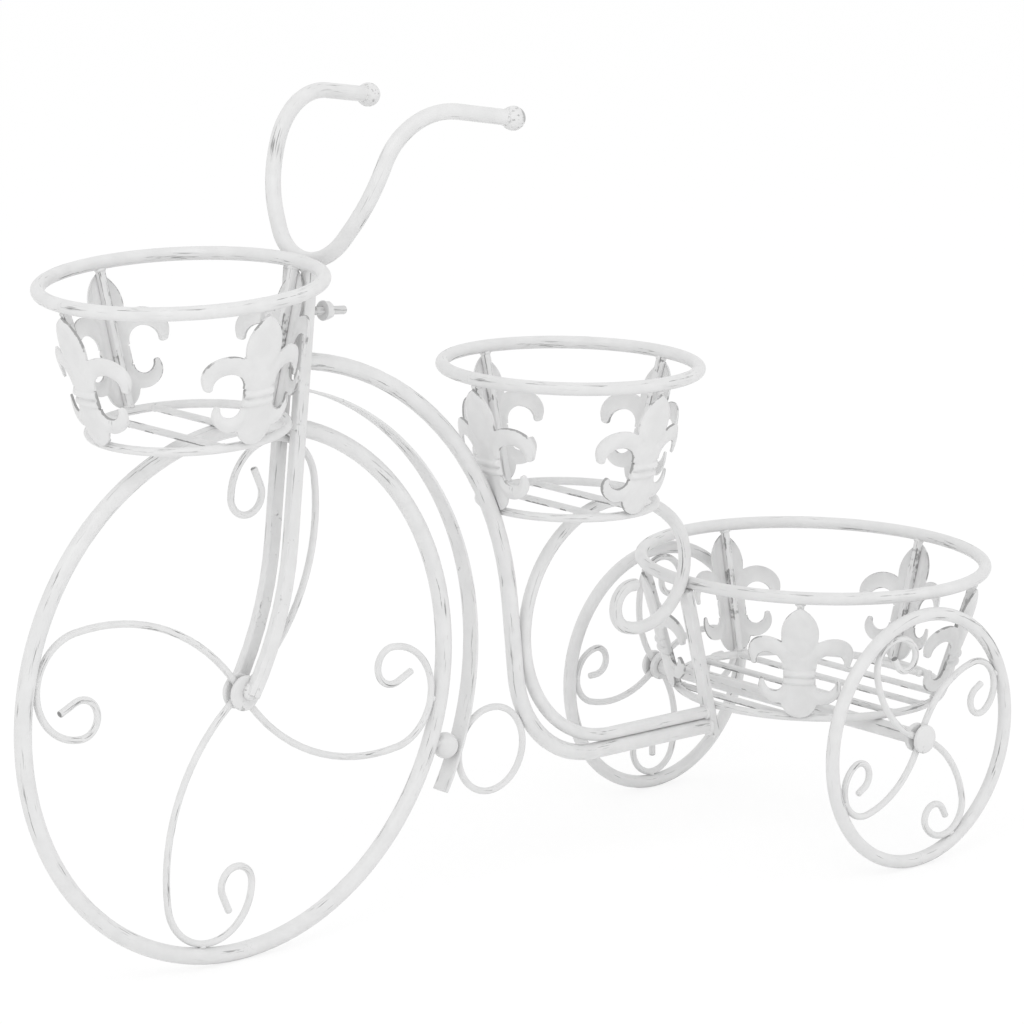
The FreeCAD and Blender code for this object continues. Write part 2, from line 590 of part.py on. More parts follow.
def fork_bar(label, side):
    """Make one flat fork bar: straight in the head, bent forward to the hub."""
    body = doc.addObject("PartDesign::Body", label)
    line = bent_line(body, label + "_line", None, None, -QUARTER_TURN,
                     [("line", "bar_straight"), ("arc", "bar_bend_radius", "bar_bend_sweep", -1)])
    section = sketch_on(body, "XY_Plane", label + "_section")
    across, deep = value("bar_width") / 2, value("bar_depth") / 2
    corners = [FreeCAD.Vector(x, y, 0) for x, y in ((-deep, -across), (deep, -across), (deep, across), (-deep, across))]
    for start, end in zip(corners, corners[1:] + corners[:1]):
        section.addGeometry(Part.LineSegment(start, end), False)
    for edge in range(len(corners)):
        section.addConstraint(Sketcher.Constraint("Coincident", edge, 2, (edge + 1) % len(corners), 1))
        section.addConstraint(Sketcher.Constraint("Vertical" if edge % 2 else "Horizontal", edge))
    section.addConstraint(Sketcher.Constraint("Symmetric", 0, 1, 1, 2, -1, 1))
    constrain(section, "bar_depth", "Distance", 0)
    constrain(section, "bar_width", "Distance", 1)
    sweep(body, label + "_sweep", section, line)
    return node(bind(body, Placement=place("front_axle_x + bar_top_reach", f"{side} * (bar_inside + bar_width / 2)",
                                           "bar_top_z", "0; 1; 0", "bar_lean")), label)


def bent_through(corners, radii, radius):
    """Make a round tube through corners, with a bend of its own radius at each inner corner."""
    edges, here = [], corners[0]
    for before, corner, after, bend in zip(corners, corners[1:], corners[2:], radii):
        back, ahead = (before - corner).normalize(), (after - corner).normalize()
        half = back.getAngle(ahead) / 2
        start, end = corner + back * (bend / math.tan(half)), corner + ahead * (bend / math.tan(half))
        middle = corner + (back + ahead).normalize() * (bend / math.sin(half) - bend)
        edges += [Part.makeLine(here, start), Part.Arc(start, middle, end).toShape()]
        here = end
    edges.append(Part.makeLine(here, corners[-1]))
    section = Part.Wire(Part.makeCircle(radius, corners[0], corners[1] - corners[0]))
    return Part.Wire(edges).makePipeShell([section], True, False)


def handlebar():
    """Make the bent handlebar, which leaves the stand's plane, and the balls on its ends."""
    base = FreeCAD.Vector(value("front_axle_x") + value("handlebar_base_reach"), 0, value("handlebar_base_z"))

    def corner(name, side):
        return base + FreeCAD.Vector(value(f"{name}_back"), side * value(f"{name}_side"), value(f"{name}_rise"))

    ball, tube = value("grip_ball") / 2, value("handlebar_tube") / 2
    flat = math.sqrt(ball ** 2 - tube ** 2)
    ends, balls = [], []
    for side, name in zip((-1, 1), WHEELS):
        outward = (corner("grip", side) - corner("crown", side)).normalize()
        ends.append(corner("grip", side) - outward * (flat + value("weld_gap")))
        sphere = add("Sphere", f"grip_ball_{name}", Radius="grip_ball / 2",
                     Angle1="-asin(sqrt(1 - (handlebar_tube / grip_ball)^2))")
        sphere.Placement = FreeCAD.Placement(corner("grip", side), FreeCAD.Rotation(Z_AXIS, outward))
        balls.append(sphere)
    bends = [value(f"{name}_bend") for name in ("crown", "flare", "handlebar_base", "flare", "crown")]
    bar = doc.addObject("Part::Feature", "handlebar")
    bar.Shape = bent_through([ends[0], corner("crown", -1), corner("flare", -1), base,
                              corner("flare", 1), corner("crown", 1), ends[1]], bends, tube)
    node(bar, "handlebar")
    node(group("grip", balls), "grip_balls")


def frame():
    """Make the frame tube and the seat loop, cut to the hitch bar, and the bar itself."""
    main = bent_tube("main_bend", "main_tube", "frame_end_x", "main_run_z", 2 * QUARTER_TURN, [
        ("line", "main_run"), ("arc", "main_bend_radius", "main_bend_sweep", -1),
        ("line", "main_rise"), ("arc", "main_arch_radius", "main_arch_sweep", 1)])
    loop = bent_tube("loop_bend", "loop_tube", "frame_end_x", "loop_run_z", 2 * QUARTER_TURN, [
        ("line", "loop_run"), ("arc", "loop_radius", "loop_sweep", -1),
        ("arc", "loop_inner_radius", "loop_inner_sweep", -1),
        ("arc", "loop_hook_radius", "loop_hook_sweep", -1)])
    side = place("rear_basket_x - rear_ring_radius", "0", "rear_basket_z", "0; 1; 0", "-rear_lean")
    bar = add("Box", "hitch_box", Length="hitch_depth", Width="hitch_width",
              Height="rear_stake_run + hitch_drop - hitch_top",
              Placement=side + " * " + place("-hitch_outside", "-hitch_width / 2", "-rear_stake_run - hitch_drop"))
    room = add("Box", "hitch_room", Length="rear_ring_radius", Width="rear_ring_radius", Height="rear_stake_run * 2",
               Placement=side + " * " + place("-hitch_outside - weld_gap", "-rear_ring_radius / 2",
                                              "-rear_stake_run * 2"))
    node(cut("main_cut", main, room), "main_tube")
    node(cut("loop_cut", loop, room), "seat_loop")
    node(bar, "hitch_bar")


def mudguard():
    """Make the mudguard strip, the ball that spaces it and the ring that ties it to the frame."""
    turn = place("front_axle_x", "-mudguard_width / 2", "front_axle_z", "1; 0; 0", "-90")
    rim_turn = turn + " * " + place(angle="-mudguard_head_angle")
    outer = add("Cylinder", "mudguard_outer", Radius="mudguard_outside", Height="mudguard_width",
                Angle="mudguard_head_angle + mudguard_tail_angle", Placement=rim_turn)
    inner = add("Cylinder", "mudguard_inner", Radius="mudguard_inside", Height="mudguard_width", Placement=rim_turn)
    node(cut("mudguard_cut", outer, inner), "mudguard")
    middle = "(mudguard_inside - mudguard_gap / 2)"
    node(add("Sphere", "spacer", Radius="spacer_ball / 2",
             Placement=place(f"front_axle_x + {middle} * cos(spacer_angle)", "0",
                             f"front_axle_z - {middle} * sin(spacer_angle)")), "spacer_ball")
    rim("mudguard_ring", "guard_ring_radius", "guard_ring_rod", "front_axle_x + guard_ring_reach", "0", "guard_ring_z")


# Baskets

def fleur_block(kind, name, x="0", y="0", **properties):
    """Add a block whose outline is one form of the plate, deep enough for the bent sheet to pass through it."""
    return add(kind, name, Height="fleur_block", Placement=place(x, y, "-fleur_wrap"), **properties)


def fleur_half(name, width, down, hole, hole_out, hole_down, tip_down, upper):
    """Outline one curled petal of the plate: a disc less an offset disc, with a round end."""
    disc = fleur_block("Cylinder", f"{name}_disc", width, f"-{down}", Radius=f"{name}_radius")
    opening = fleur_block("Cylinder", f"{name}_opening", hole_out, f"-{hole_down}", Radius=hole)
    keep = fleur_block("Box", f"{name}_keep", "0", f"-{tip_down}" + ("" if upper else f" - 2 * {name}_radius"),
                       Length=f"{width} + {name}_radius", Width=f"2 * {name}_radius")
    crescent = common(f"{name}_crescent", cut(f"{name}_ring", disc, opening), keep)
    outside = f"({width} + sqrt({name}_radius^2 - ({tip_down} - {down})^2))"
    inside = f"({hole_out} + sqrt({hole}^2 - ({tip_down} - {hole_down})^2))"
    tip = fleur_block("Cylinder", f"{name}_tip", f"({outside} + {inside}) / 2", f"-{tip_down}",
                      Radius=f"({outside} - {inside}) / 2")
    right = doc.addObject("Part::Fuse", f"{name}_right")
    right.Base, right.Tool = crescent, tip
    left = doc.addObject("Part::Mirroring", f"{name}_left")
    left.Source, left.Normal = right, X_AXIS
    return [right, left]


def fleur_round(name, radius):
    """Add a round bar up the plate, about the axis that the plate is bent round."""
    return add("Cylinder", name, Radius=radius, Height="tail_down + 3 * tail_radius",
               Placement=place("0", "-tail_down - 2 * tail_radius", "-fleur_wrap", "1; 0; 0", "-90"))


def fleur_band(row, back):
    """Make one half-round ridge of the band, bent with the plate."""
    ridge = add("Torus", f"band_{row}_ring", Radius1="fleur_wrap", Radius2="band_ridge",
                Placement=place("0", f"-band_{row}_down", "-fleur_wrap", "1; 0; 0", "90"))
    keep = add("Box", f"band_{row}_keep", Length="band_width", Width="2 * band_ridge", Height="fleur_block + band_ridge",
               Placement=place("-band_width / 2", f"-band_{row}_down - band_ridge", "-fleur_wrap"))
    return cut(f"band_{row}", common(f"band_{row}_arc", ridge, keep), back)


def fleur_plate():
    """Make the stamped fleur-de-lis: three petals, a banded waist, two hooks and a round tail, bent to the basket."""
    sides = [fleur_block("Cylinder", f"petal_arc_{side}", f"{sign}(petal_arc - petal_width / 2)", "-petal_length / 2",
                         Radius="petal_arc") for side, sign in zip(WHEELS, ("-", ""))]
    petal = common("petal", *sides)
    stem = fleur_block("Box", "stem", "-stem_width / 2", "-tail_down", Length="stem_width", Width="tail_down - stem_top")
    tail = fleur_block("Cylinder", "tail", "0", "-tail_down", Radius="tail_radius")
    curls = fleur_half("side_petal", "side_petal_out", "side_petal_down", "side_petal_hole",
                       "side_hole_out", "side_hole_down", "side_tip_down", True)
    curls += fleur_half("hook", "hook_out", "hook_down", "hook_hole",
                        "hook_hole_out", "hook_hole_down", "hook_tip_down", False)
    outline = doc.addObject("Part::MultiFuse", "fleur_outline")
    outline.Shapes = [petal, stem, tail] + curls
    back = fleur_round("fleur_back", "fleur_wrap")
    sheet = cut("fleur_sheet_bent", fleur_round("fleur_front", "fleur_block"), back)
    plate = doc.addObject("Part::MultiFuse", "fleur_plate")
    plate.Shapes = [common("fleur_bent", outline, sheet)] + [fleur_band(row, back) for row in ("upper", "lower")]
    plate.Refine = True
    return plate


def around(name, piece, count, first, frame_text):
    """Set copies of a piece evenly round a basket's axis."""
    copies = []
    for index in range(round(value(count))):
        copy = doc.addObject("App::Link", f"{name}_{index}")
        copy.LinkedObject = piece
        turn = place(angle=f"{first} + {index} * {FULL_TURN} / {count}")
        bind(copy, Placement=f"{turn} * {frame_text}")
        copies.append(copy)
    return copies


def basket(name, plate, count, first, tip, offsets):
    """Make a basket: two rings, stakes, floor rods and the plates on the stakes."""
    pose = place(f"{name}_basket_x", "0", f"{name}_basket_z", "0; 1; 0", tip)
    node(add("Torus", f"{name}_top_ring", Radius1=f"{name}_ring_radius", Radius2="ring_tube / 2",
             Placement=pose), f"{name}_top_ring")
    node(add("Torus", f"{name}_bottom_ring", Radius1=f"{name}_bottom_radius", Radius2="basket_rod / 2",
             Placement=pose + " * " + place(z=f"-{name}_depth")), f"{name}_bottom_ring")
    rods = []
    for index, offset in enumerate(offsets):
        half = (f"sqrt(({name}_bottom_radius - basket_rod / 2 - weld_gap)^2"
                f" - (abs({offset}) + floor_rod / 2)^2)")
        rods.append(cross_rod(f"{name}_floor_{index}", "floor_rod", f"-{half}", f"2 * {half}",
                              offset, f"-{name}_depth"))
    node(group(f"{name}_floor", rods, pose), f"{name}_floor_rods")
    side = place(f"{name}_ring_radius", axis="0; 1; 0", angle=f"{name}_lean") + " * " + place(axis="1; 1; 1", angle="120")
    top, bottom = "(ring_tube / 2 + weld_gap)", f"({name}_stake_run - basket_rod / 2 - weld_gap)"
    stake = add("Box", f"{name}_stake", Length="stake_width", Width=f"{bottom} - {top}", Height="stake_depth")
    stake_frame = side + " * " + place("-stake_width / 2", f"-{bottom}", "-stake_depth / 2")
    node(group(f"{name}_stakes", around(f"{name}_stake", stake, count, first, stake_frame), pose), f"{name}_stakes")
    plate_frame = side + " * " + place("0", "-fleur_drop", "fleur_seat")
    return group(f"{name}_fleurs", around(f"{name}_fleur", plate, count, first, plate_frame), pose)


def baskets():
    """Make the three baskets; the seat basket's front plate is cut to clear the frame tube."""
    plate = fleur_plate()
    small = ["-small_floor_pitch / 2", "small_floor_pitch / 2"]
    wide = [f"(rear_floor_shift + ({index} - (rear_floor_count - 1) / 2) * rear_floor_pitch)"
            for index in range(round(value("rear_floor_count")))]
    node(basket("front", plate, "small_stake_count", "front_stake_turn", "-front_tip", small), "front_fleurs")
    seat_plates = basket("seat", plate, "small_stake_count", "0", "0", small)
    room = add("Torus", "frame_room", Radius1="main_arch_radius", Radius2="main_tube / 2 + fleur_trim_gap",
               Placement=place("front_axle_x + main_arch_reach", "0", "main_arch_z", "1; 0; 0", "90"))
    node(cut("seat_fleurs_cut", seat_plates, room), "seat_fleurs")
    node(basket("rear", plate, "rear_stake_count", "rear_stake_turn", "0", wide), "rear_fleurs")


def head_bolt():
    """Make the stud that holds the front basket to the fork bars, with its washer and nut."""
    heart_reach = "(bar_top_reach - (bar_top_z - stud_z) * tan(bar_lean))"
    tilt = "(front_lean - front_tip)"
    ring_reach = "(front_basket_reach + front_ring_radius * cos(front_tip))"
    ring_z = "(front_basket_z + front_ring_radius * sin(front_tip))"
    plate = f"(fleur_seat + fleur_sheet + weld_gap + stud_rod / 2 * sin({tilt} - bar_lean))"
    front = (f"((({heart_reach} - {ring_reach}) * cos({tilt}) - (stud_z - {ring_z}) * sin({tilt}) - {plate})"
             f" / cos({tilt} - bar_lean))")
    axis = place(f"front_axle_x + {heart_reach}", "0", "stud_z", "0; 1; 0", "90 + bar_lean")
    back = "(bar_depth / 2 + weld_gap + washer_set)"
    node(add("Cylinder", "stud", Radius="stud_rod / 2",
             Height=f"{front} + {back} + washer_sheet + nut_height + 2 * weld_gap + stud_tail",
             Placement=axis + " * " + place(z=f"-{front}")), "head_stud")
    washer = add("Cylinder", "washer_blank", Radius="washer_width / 2", Height="washer_sheet",
                 Placement=axis + " * " + place(z=back))
    nut = add("Prism", "nut_blank", Circumradius="nut_width / 2 / cos(30)", Height="nut_height",
              Placement=axis + " * " + place(z=f"{back} + washer_sheet + weld_gap"))
    nut.Polygon = 6
    bore = add("Cylinder", "stud_bore", Radius="stud_rod / 2 + nut_clearance",
               Height="washer_sheet + nut_height + 2 * weld_gap", Placement=axis + " * " + place(z=back))
    node(cut("washer_cut", washer, bore), "head_washer")
    node(cut("nut_cut", nut, bore), "head_nut")


front_wheel()
rear_wheels()
fork_bar("fork_bar_near", -1)
fork_bar("fork_bar_far", 1)
handlebar()
frame()
mudguard()
baskets()
head_bolt()
doc.recompute()

for part in doc.Objects:
    if "Invalid" in part.State or "Error" in part.State:
        raise RuntimeError(f"{part.Label} did not build: {part.State}")
os.makedirs("parts", exist_ok=True)
for part in nodes:
    if part.Shape.isNull() or not part.Shape.isValid() or not part.Shape.Solids:
        raise RuntimeError(f"{part.Label} has no sound solid")
    part.Shape.exportStep(f"parts/{part.Label}.step")
    print(f"{part.Label}: {len(part.Shape.Solids)} solid(s), {part.Shape.Volume:.0f} mm3")
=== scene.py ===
"""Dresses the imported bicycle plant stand: bent tubes, scrolls and stamped plates under rubbed white paint."""

import logging
import math
from dataclasses import dataclass, field
from enum import Enum
from typing import Protocol

import bpy
import numpy as np
from mathutils import Matrix, Vector


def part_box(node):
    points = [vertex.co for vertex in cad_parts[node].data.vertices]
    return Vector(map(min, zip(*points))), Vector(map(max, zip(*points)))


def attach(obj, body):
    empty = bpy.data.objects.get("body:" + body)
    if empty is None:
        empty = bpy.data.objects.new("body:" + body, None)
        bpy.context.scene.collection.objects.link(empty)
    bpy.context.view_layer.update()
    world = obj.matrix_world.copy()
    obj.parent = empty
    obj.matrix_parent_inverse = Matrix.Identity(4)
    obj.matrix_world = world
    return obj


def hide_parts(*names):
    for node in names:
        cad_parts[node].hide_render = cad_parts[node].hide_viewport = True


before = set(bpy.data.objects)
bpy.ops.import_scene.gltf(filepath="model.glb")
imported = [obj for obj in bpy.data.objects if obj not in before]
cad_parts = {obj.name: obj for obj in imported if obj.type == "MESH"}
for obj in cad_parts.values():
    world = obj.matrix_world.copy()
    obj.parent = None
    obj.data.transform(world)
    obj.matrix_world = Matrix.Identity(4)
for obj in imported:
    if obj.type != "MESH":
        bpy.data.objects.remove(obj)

LOG = logging.getLogger("plant_stand")
MM = 0.001
FULL_TURN = 2 * math.pi
X_AXIS = np.array((1.0, 0.0, 0.0))
Y_AXIS = np.array((0.0, 1.0, 0.0))
Z_AXIS = np.array((0.0, 0.0, 1.0))
WELD_GAP = 0.05
ARC_STEP = math.radians(4)
TUBE_SIDES = 20
ROD_SIDES = 14
DISC_SIDES = 36
RING_POINTS = 120
PATH_STEP = 8.0
MARK_STEP = 173.0
END_STEPS = 4
END_CLEAR = 1.2
END_RUB = 0.8
DISC_HEART = 0.08
BALL_ENDS = (-0.97, 0.985)
BALL_ROWS = 18
SHARP_ANGLE = math.radians(50)


class Body(Enum):
    """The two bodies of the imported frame."""

    STAND = "stand"
    WHEELSET = "wheelset"


class Slot(Enum):
    """The record's material slots."""

    PAINT = "white_paint"


# Surfaces


@dataclass
class Surface:
    """A closed mesh held as whole arrays, in millimetres.

    lay holds coordinates that follow the piece, first along it and then across its section, so that brush
    marks run along a bent tube. edge is 0 on plain faces and 1 where paint rubs off first; along the floor
    rods' undersides it carries painted shade.
    """

    points: np.ndarray
    faces: list[tuple[int, ...]]
    lay: np.ndarray
    edge: np.ndarray

    def moved(self, matrix: np.ndarray) -> "Surface":
        """Return a copy carried by a four-by-four matrix."""
        points = self.points @ matrix[:3, :3].T + matrix[:3, 3]
        return Surface(points, self.faces, self.lay, self.edge)

    def shifted_marks(self, along: float) -> "Surface":
        """Return a copy whose brush marks start elsewhere, so that equal pieces don't wear alike."""
        return Surface(self.points, self.faces, self.lay + np.array((along, 0.0, 0.0)), self.edge)


def joined(surfaces: list[Surface]) -> Surface:
    """Put several surfaces into one mesh.

    Args:
        surfaces: the surfaces to join.

    Returns:
        One surface with every face, each part's marks shifted by its place in the list.
    """
    starts = np.cumsum([0] + [len(part.points) for part in surfaces])
    faces = [tuple(index + start for index in face)
             for part, start in zip(surfaces, starts) for face in part.faces]
    marked = [part.shifted_marks(MARK_STEP * number) for number, part in enumerate(surfaces)]
    points, lay, edge = (np.concatenate(arrays)
                         for arrays in zip(*((part.points, part.lay, part.edge) for part in marked)))
    return Surface(points, faces, lay, edge)


def grid_faces(rows: int, columns: int, ring: bool) -> list[tuple[int, ...]]:
    """Return the quads of a grid that wraps in its columns, and in its rows too where it is a ring.

    Args:
        rows: points along the first parameter.
        columns: points round the second parameter.
        ring: whether the last row meets the first.

    Returns:
        A list of corner indices, wound so that the faces point outwards.
    """
    here = np.arange(rows if ring else rows - 1)[:, None]
    beside = np.arange(columns)[None, :]
    ahead, round_on = (here + 1) % rows, (beside + 1) % columns
    quads = np.stack([here * columns + beside, here * columns + round_on,
                      ahead * columns + round_on, ahead * columns + beside], axis=-1)
    return [tuple(quad) for quad in quads.reshape(-1, 4).tolist()]


def end_caps(rows: int, columns: int) -> list[tuple[int, ...]]:
    """Return the two many-sided faces that close the first and last rows of an open grid."""
    last = (rows - 1) * columns
    return [tuple(range(columns))[::-1], tuple(range(last, last + columns))]


def unit(vectors: np.ndarray) -> np.ndarray:
    """Scale each vector of an array to length one."""
    return vectors / np.linalg.norm(vectors, axis=-1, keepdims=True)


def path_length(path: np.ndarray) -> np.ndarray:
    """Return the distance run at each point of a path."""
    return np.concatenate([[0.0], np.cumsum(np.linalg.norm(np.diff(path, axis=0), axis=1))])


def round_section(diameter: float, sides: int) -> np.ndarray:
    """Return a circle of points (cos, sin) times the radius."""
    angle = np.arange(sides) * FULL_TURN / sides
    return np.stack([np.cos(angle), np.sin(angle)], axis=1) * diameter / 2


def bar_section(width: float, depth: float, corner: float, steps: int = 4) -> np.ndarray:
    """Return a rectangle with round corners: a quarter circle swept about each inset corner.

    Args:
        width: size along the first axis.
        depth: size along the second axis.
        corner: radius of the corners.
        steps: points on each corner.

    Returns:
        The outline's points, counter-clockwise.
    """
    quarter = np.linspace(0.0, FULL_TURN / 4, steps)
    angle = quarter[None, :] + np.arange(4)[:, None] * FULL_TURN / 4
    signs = np.array(((1, 1), (-1, 1), (-1, -1), (1, -1)))[:, None, :]
    centre = signs * (np.array((width, depth)) / 2 - corner)
    return (centre + corner * np.stack([np.cos(angle), np.sin(angle)], axis=-1)).reshape(-1, 2)


def corner_wear(section: np.ndarray, width: float, depth: float) -> np.ndarray:
    """Return how near a corner each point of a bar's section is: the product of its shares of half size."""
    share = np.abs(section) / (np.array((width, depth)) / 2)
    return np.clip((share.prod(axis=1) - 0.5) * 2, 0.0, 1.0)


def sweep(path: np.ndarray, reference: np.ndarray, section: np.ndarray, ring: bool = False,
          end_round: float = 0.0, wear: np.ndarray | None = None) -> Surface:
    """Carry a section along a path: P(i, j) = path(i) + a(j) across(i) + b(j) up(i).

    up is the reference laid square to the path and across is up x tangent. Where the ends are rounded, the
    last stretch shrinks on a quarter circle of the given radius.

    Args:
        path: points of the middle line.
        reference: a direction that the path never runs along.
        section: outline points (a, b), counter-clockwise.
        ring: whether the path closes on itself.
        end_round: radius that breaks the ends' edges.
        wear: rub at each point of the section; the floor rods give painted shade through it.

    Returns:
        The closed surface.
    """
    run = path_length(path)
    scale = np.ones(len(path))
    if end_round and not ring:
        turn = np.linspace(FULL_TURN / 4, 0.0, END_STEPS)
        inset = end_round * (1 - np.sin(turn))
        shrink = 1 - end_round * (1 - np.cos(turn)) / np.abs(section).max()
        clear = end_round * END_CLEAR
        inner = run[(run > clear) & (run < run[-1] - clear)]
        stations = np.concatenate([inset, inner, run[-1] - inset[::-1]])
        path = np.stack([np.interp(stations, run, path[:, axis]) for axis in range(3)], axis=1)
        scale = np.concatenate([shrink, np.ones(len(inner)), shrink[::-1]])
        run = stations
    if ring:
        tangent = unit(np.roll(path, -1, axis=0) - np.roll(path, 1, axis=0))
    else:
        tangent = unit(np.gradient(path, run, axis=0))
    up = unit(reference - (tangent @ reference)[:, None] * tangent)
    across = np.cross(up, tangent)
    spread = section[None, :, :] * scale[:, None, None]
    points = path[:, None, :] + spread[..., :1] * across[:, None, :] + spread[..., 1:] * up[:, None, :]
    lay = np.concatenate([np.broadcast_to(run[:, None, None], spread.shape[:2] + (1,)), spread], axis=2)
    rub = np.zeros(len(section)) if wear is None else wear
    edge = np.maximum(np.broadcast_to(rub, spread.shape[:2]), (scale < 0.999)[:, None] * END_RUB)
    rows, columns = spread.shape[:2]
    faces = grid_faces(rows, columns, ring) + ([] if ring else end_caps(rows, columns))
    return Surface(points.reshape(-1, 3), faces, lay.reshape(-1, 3), edge.reshape(-1).copy())


def lathe(height: np.ndarray, radius: np.ndarray, centre: np.ndarray, axis: np.ndarray, first: np.ndarray,
          edge: np.ndarray | float) -> Surface:
    """Turn rows about an axis: P(i, j) = centre + h(i) axis + r(i, j) (cos j first + sin j axis x first).

    Args:
        height: place of each row along the axis.
        radius: distance from the axis, a row for each height and a column for each side.
        centre: the axis's zero point.
        axis: direction of the axis.
        first: where the columns start, square to the axis.
        edge: rub at each point, or one value for all.

    Returns:
        The closed surface.
    """
    rows, sides = radius.shape
    angle = np.arange(sides) * FULL_TURN / sides
    spokes = np.cos(angle)[:, None] * first + np.sin(angle)[:, None] * np.cross(axis, first)
    points = centre + height[:, None, None] * axis + radius[..., None] * spokes
    places = np.broadcast_arrays(height[:, None], radius * np.cos(angle), radius * np.sin(angle))
    lay = np.stack(places, axis=-1)
    faces = grid_faces(rows, sides, False) + end_caps(rows, sides)
    return Surface(points.reshape(-1, 3), faces, lay.reshape(-1, 3),
                   np.broadcast_to(edge, radius.shape).reshape(-1).copy())


def turned(profile: np.ndarray, centre: np.ndarray, axis: np.ndarray, sides: int = DISC_SIDES,
           wear: float = 0.0) -> Surface:
    """Turn a round piece: its profile's radius is the same all the way round.

    Args:
        profile: points (height along the axis, radius), from the low end to the high one.
        centre: the axis's zero point.
        axis: direction of the axis.
        sides: points round the axis.
        wear: rub over the whole piece.

    Returns:
        The closed surface.
    """
    axis = unit(np.asarray(axis, float))
    first = unit(np.cross(axis, X_AXIS if abs(axis[0]) < 0.9 else Y_AXIS))
    return lathe(profile[:, 0], np.repeat(profile[:, 1:], sides, axis=1), centre, axis, first, wear)


def disc_profile(low: float, high: float, radius: float, corner: float) -> np.ndarray:
    """Work out a disc's profile: flat faces joined by an edge rounded on quarter circles.

    Args:
        low: height of the lower face.
        high: height of the upper face.
        radius: the disc's radius.
        corner: radius of the rounding.

    Returns:
        Points (height, radius), from the middle of the lower face to that of the upper one.
    """
    quarter = np.linspace(0.0, FULL_TURN / 4, 5)
    lower = np.stack([low + corner * (1 - np.cos(quarter)), radius - corner * (1 - np.sin(quarter))], axis=1)
    upper = np.stack([high - corner * (1 - np.sin(quarter)), radius - corner * (1 - np.cos(quarter))], axis=1)
    flat = np.linspace(DISC_HEART, 1.0, 4)[:-1] * (radius - corner)
    return np.concatenate([np.stack([np.full(3, low), flat], axis=1), lower, upper,
                           np.stack([np.full(3, high), flat[::-1]], axis=1)])


def ball_profile(radius: float) -> np.ndarray:
    """Return a ball's profile: (sin, cos) times the radius, from pole to pole."""
    angle = np.linspace(*(math.asin(share) for share in BALL_ENDS), BALL_ROWS)
    return np.stack([radius * np.sin(angle), radius * np.cos(angle)], axis=1)


# Paths


@dataclass(frozen=True)
class Straight:
    """A straight run of a bent tube."""

    length: float


@dataclass(frozen=True)
class Bend:
    """A bend of a bent tube: degrees of turn, to the left where side is 1 and to the right where it is -1."""

    radius: float
    turn: float
    side: int


def bent_path(start: tuple[float, float], heading: float, runs: list[Straight | Bend]) -> np.ndarray:
    """Lay runs end to end, each tangent to the one before.

    Args:
        start: first point in the plane.
        heading: first direction, in degrees.
        runs: straight runs and bends, in order.

    Returns:
        Points in the plane.
    """
    here, angle = np.array(start, float), math.radians(heading)
    stretches = [here[None, :]]
    for run in runs:
        if isinstance(run, Straight):
            steps = np.linspace(0.0, run.length, max(2, int(run.length / PATH_STEP)) + 1)[1:, None]
            stretch = here + steps * np.array((math.cos(angle), math.sin(angle)))
        else:
            centre = here + run.side * run.radius * np.array((-math.sin(angle), math.cos(angle)))
            turn = math.radians(run.turn)
            sweeps = np.linspace(0, turn, max(3, math.ceil(turn / ARC_STEP)) + 1)[1:]
            swing = angle + run.side * (sweeps - FULL_TURN / 4)
            stretch = centre + run.radius * np.stack([np.cos(swing), np.sin(swing)], axis=1)
            angle += run.side * turn
        stretches.append(stretch)
        here = stretch[-1]
    return np.concatenate(stretches)


def upright(plane_points: np.ndarray, y: float = 0.0) -> np.ndarray:
    """Stand points of a plane up in the stand's own X and Z."""
    return np.stack([plane_points[:, 0], np.full(len(plane_points), y), plane_points[:, 1]], axis=1)


def straight_steps(here: np.ndarray, there: np.ndarray) -> np.ndarray:
    """Return points from just past one place to another, a path step apart."""
    count = max(2, int(np.linalg.norm(there - here) / PATH_STEP))
    return here + np.linspace(0, 1, count + 1)[1:, None] * (there - here)


def rounded_path(corners: np.ndarray, radii: list[float]) -> np.ndarray:
    """Run through corners with an arc at each inner one.

    Args:
        corners: the corner points.
        radii: the arc's radius at each inner corner.

    Returns:
        Points of the smooth path.
    """
    stretches = [corners[:1]]
    for before, corner, after, radius in zip(corners, corners[1:], corners[2:], radii):
        back, ahead = unit(before - corner), unit(after - corner)
        half = math.acos(float(back @ ahead)) / 2
        centre = corner + unit(back + ahead) * radius / math.sin(half)
        start = corner + back * radius / math.tan(half)
        first, turn = unit(start - centre), math.pi - 2 * half
        side = unit(-back - first * (-back @ first))
        swing = np.linspace(0.0, turn, max(4, math.ceil(turn / ARC_STEP)) + 1)[:, None]
        arc = centre + radius * (np.cos(swing) * first + np.sin(swing) * side)
        stretches += [straight_steps(stretches[-1][-1], start)[:-1], arc]
    stretches.append(straight_steps(stretches[-1][-1], corners[-1]))
    return np.concatenate(stretches)


def circle_path(centre: np.ndarray, axis: np.ndarray, radius: float) -> np.ndarray:
    """Lay a circle square to an axis, with a point every three degrees.

    Args:
        centre: the circle's middle.
        axis: the direction square to it.
        radius: its radius.

    Returns:
        Points of the circle.
    """
    first = unit(np.cross(axis, Y_AXIS if abs(axis[1]) < 0.9 else X_AXIS))
    angle = np.arange(RING_POINTS)[:, None] * FULL_TURN / RING_POINTS
    return centre + radius * (np.cos(angle) * first + np.sin(angle) * np.cross(axis, first))


def tube_ring(centre: np.ndarray, axis: np.ndarray, radius: float, tube: float,
              sides: int = TUBE_SIDES) -> Surface:
    """Bend a closed ring: a round section carried along a circle square to the axis."""
    return sweep(circle_path(centre, axis, radius), axis, round_section(tube, sides), ring=True)


def turn_about(axis: str, degrees: float) -> np.ndarray:
    """Return a matrix that turns about a named axis by the right-hand rule."""
    return np.array(Matrix.Rotation(math.radians(degrees), 4, axis))


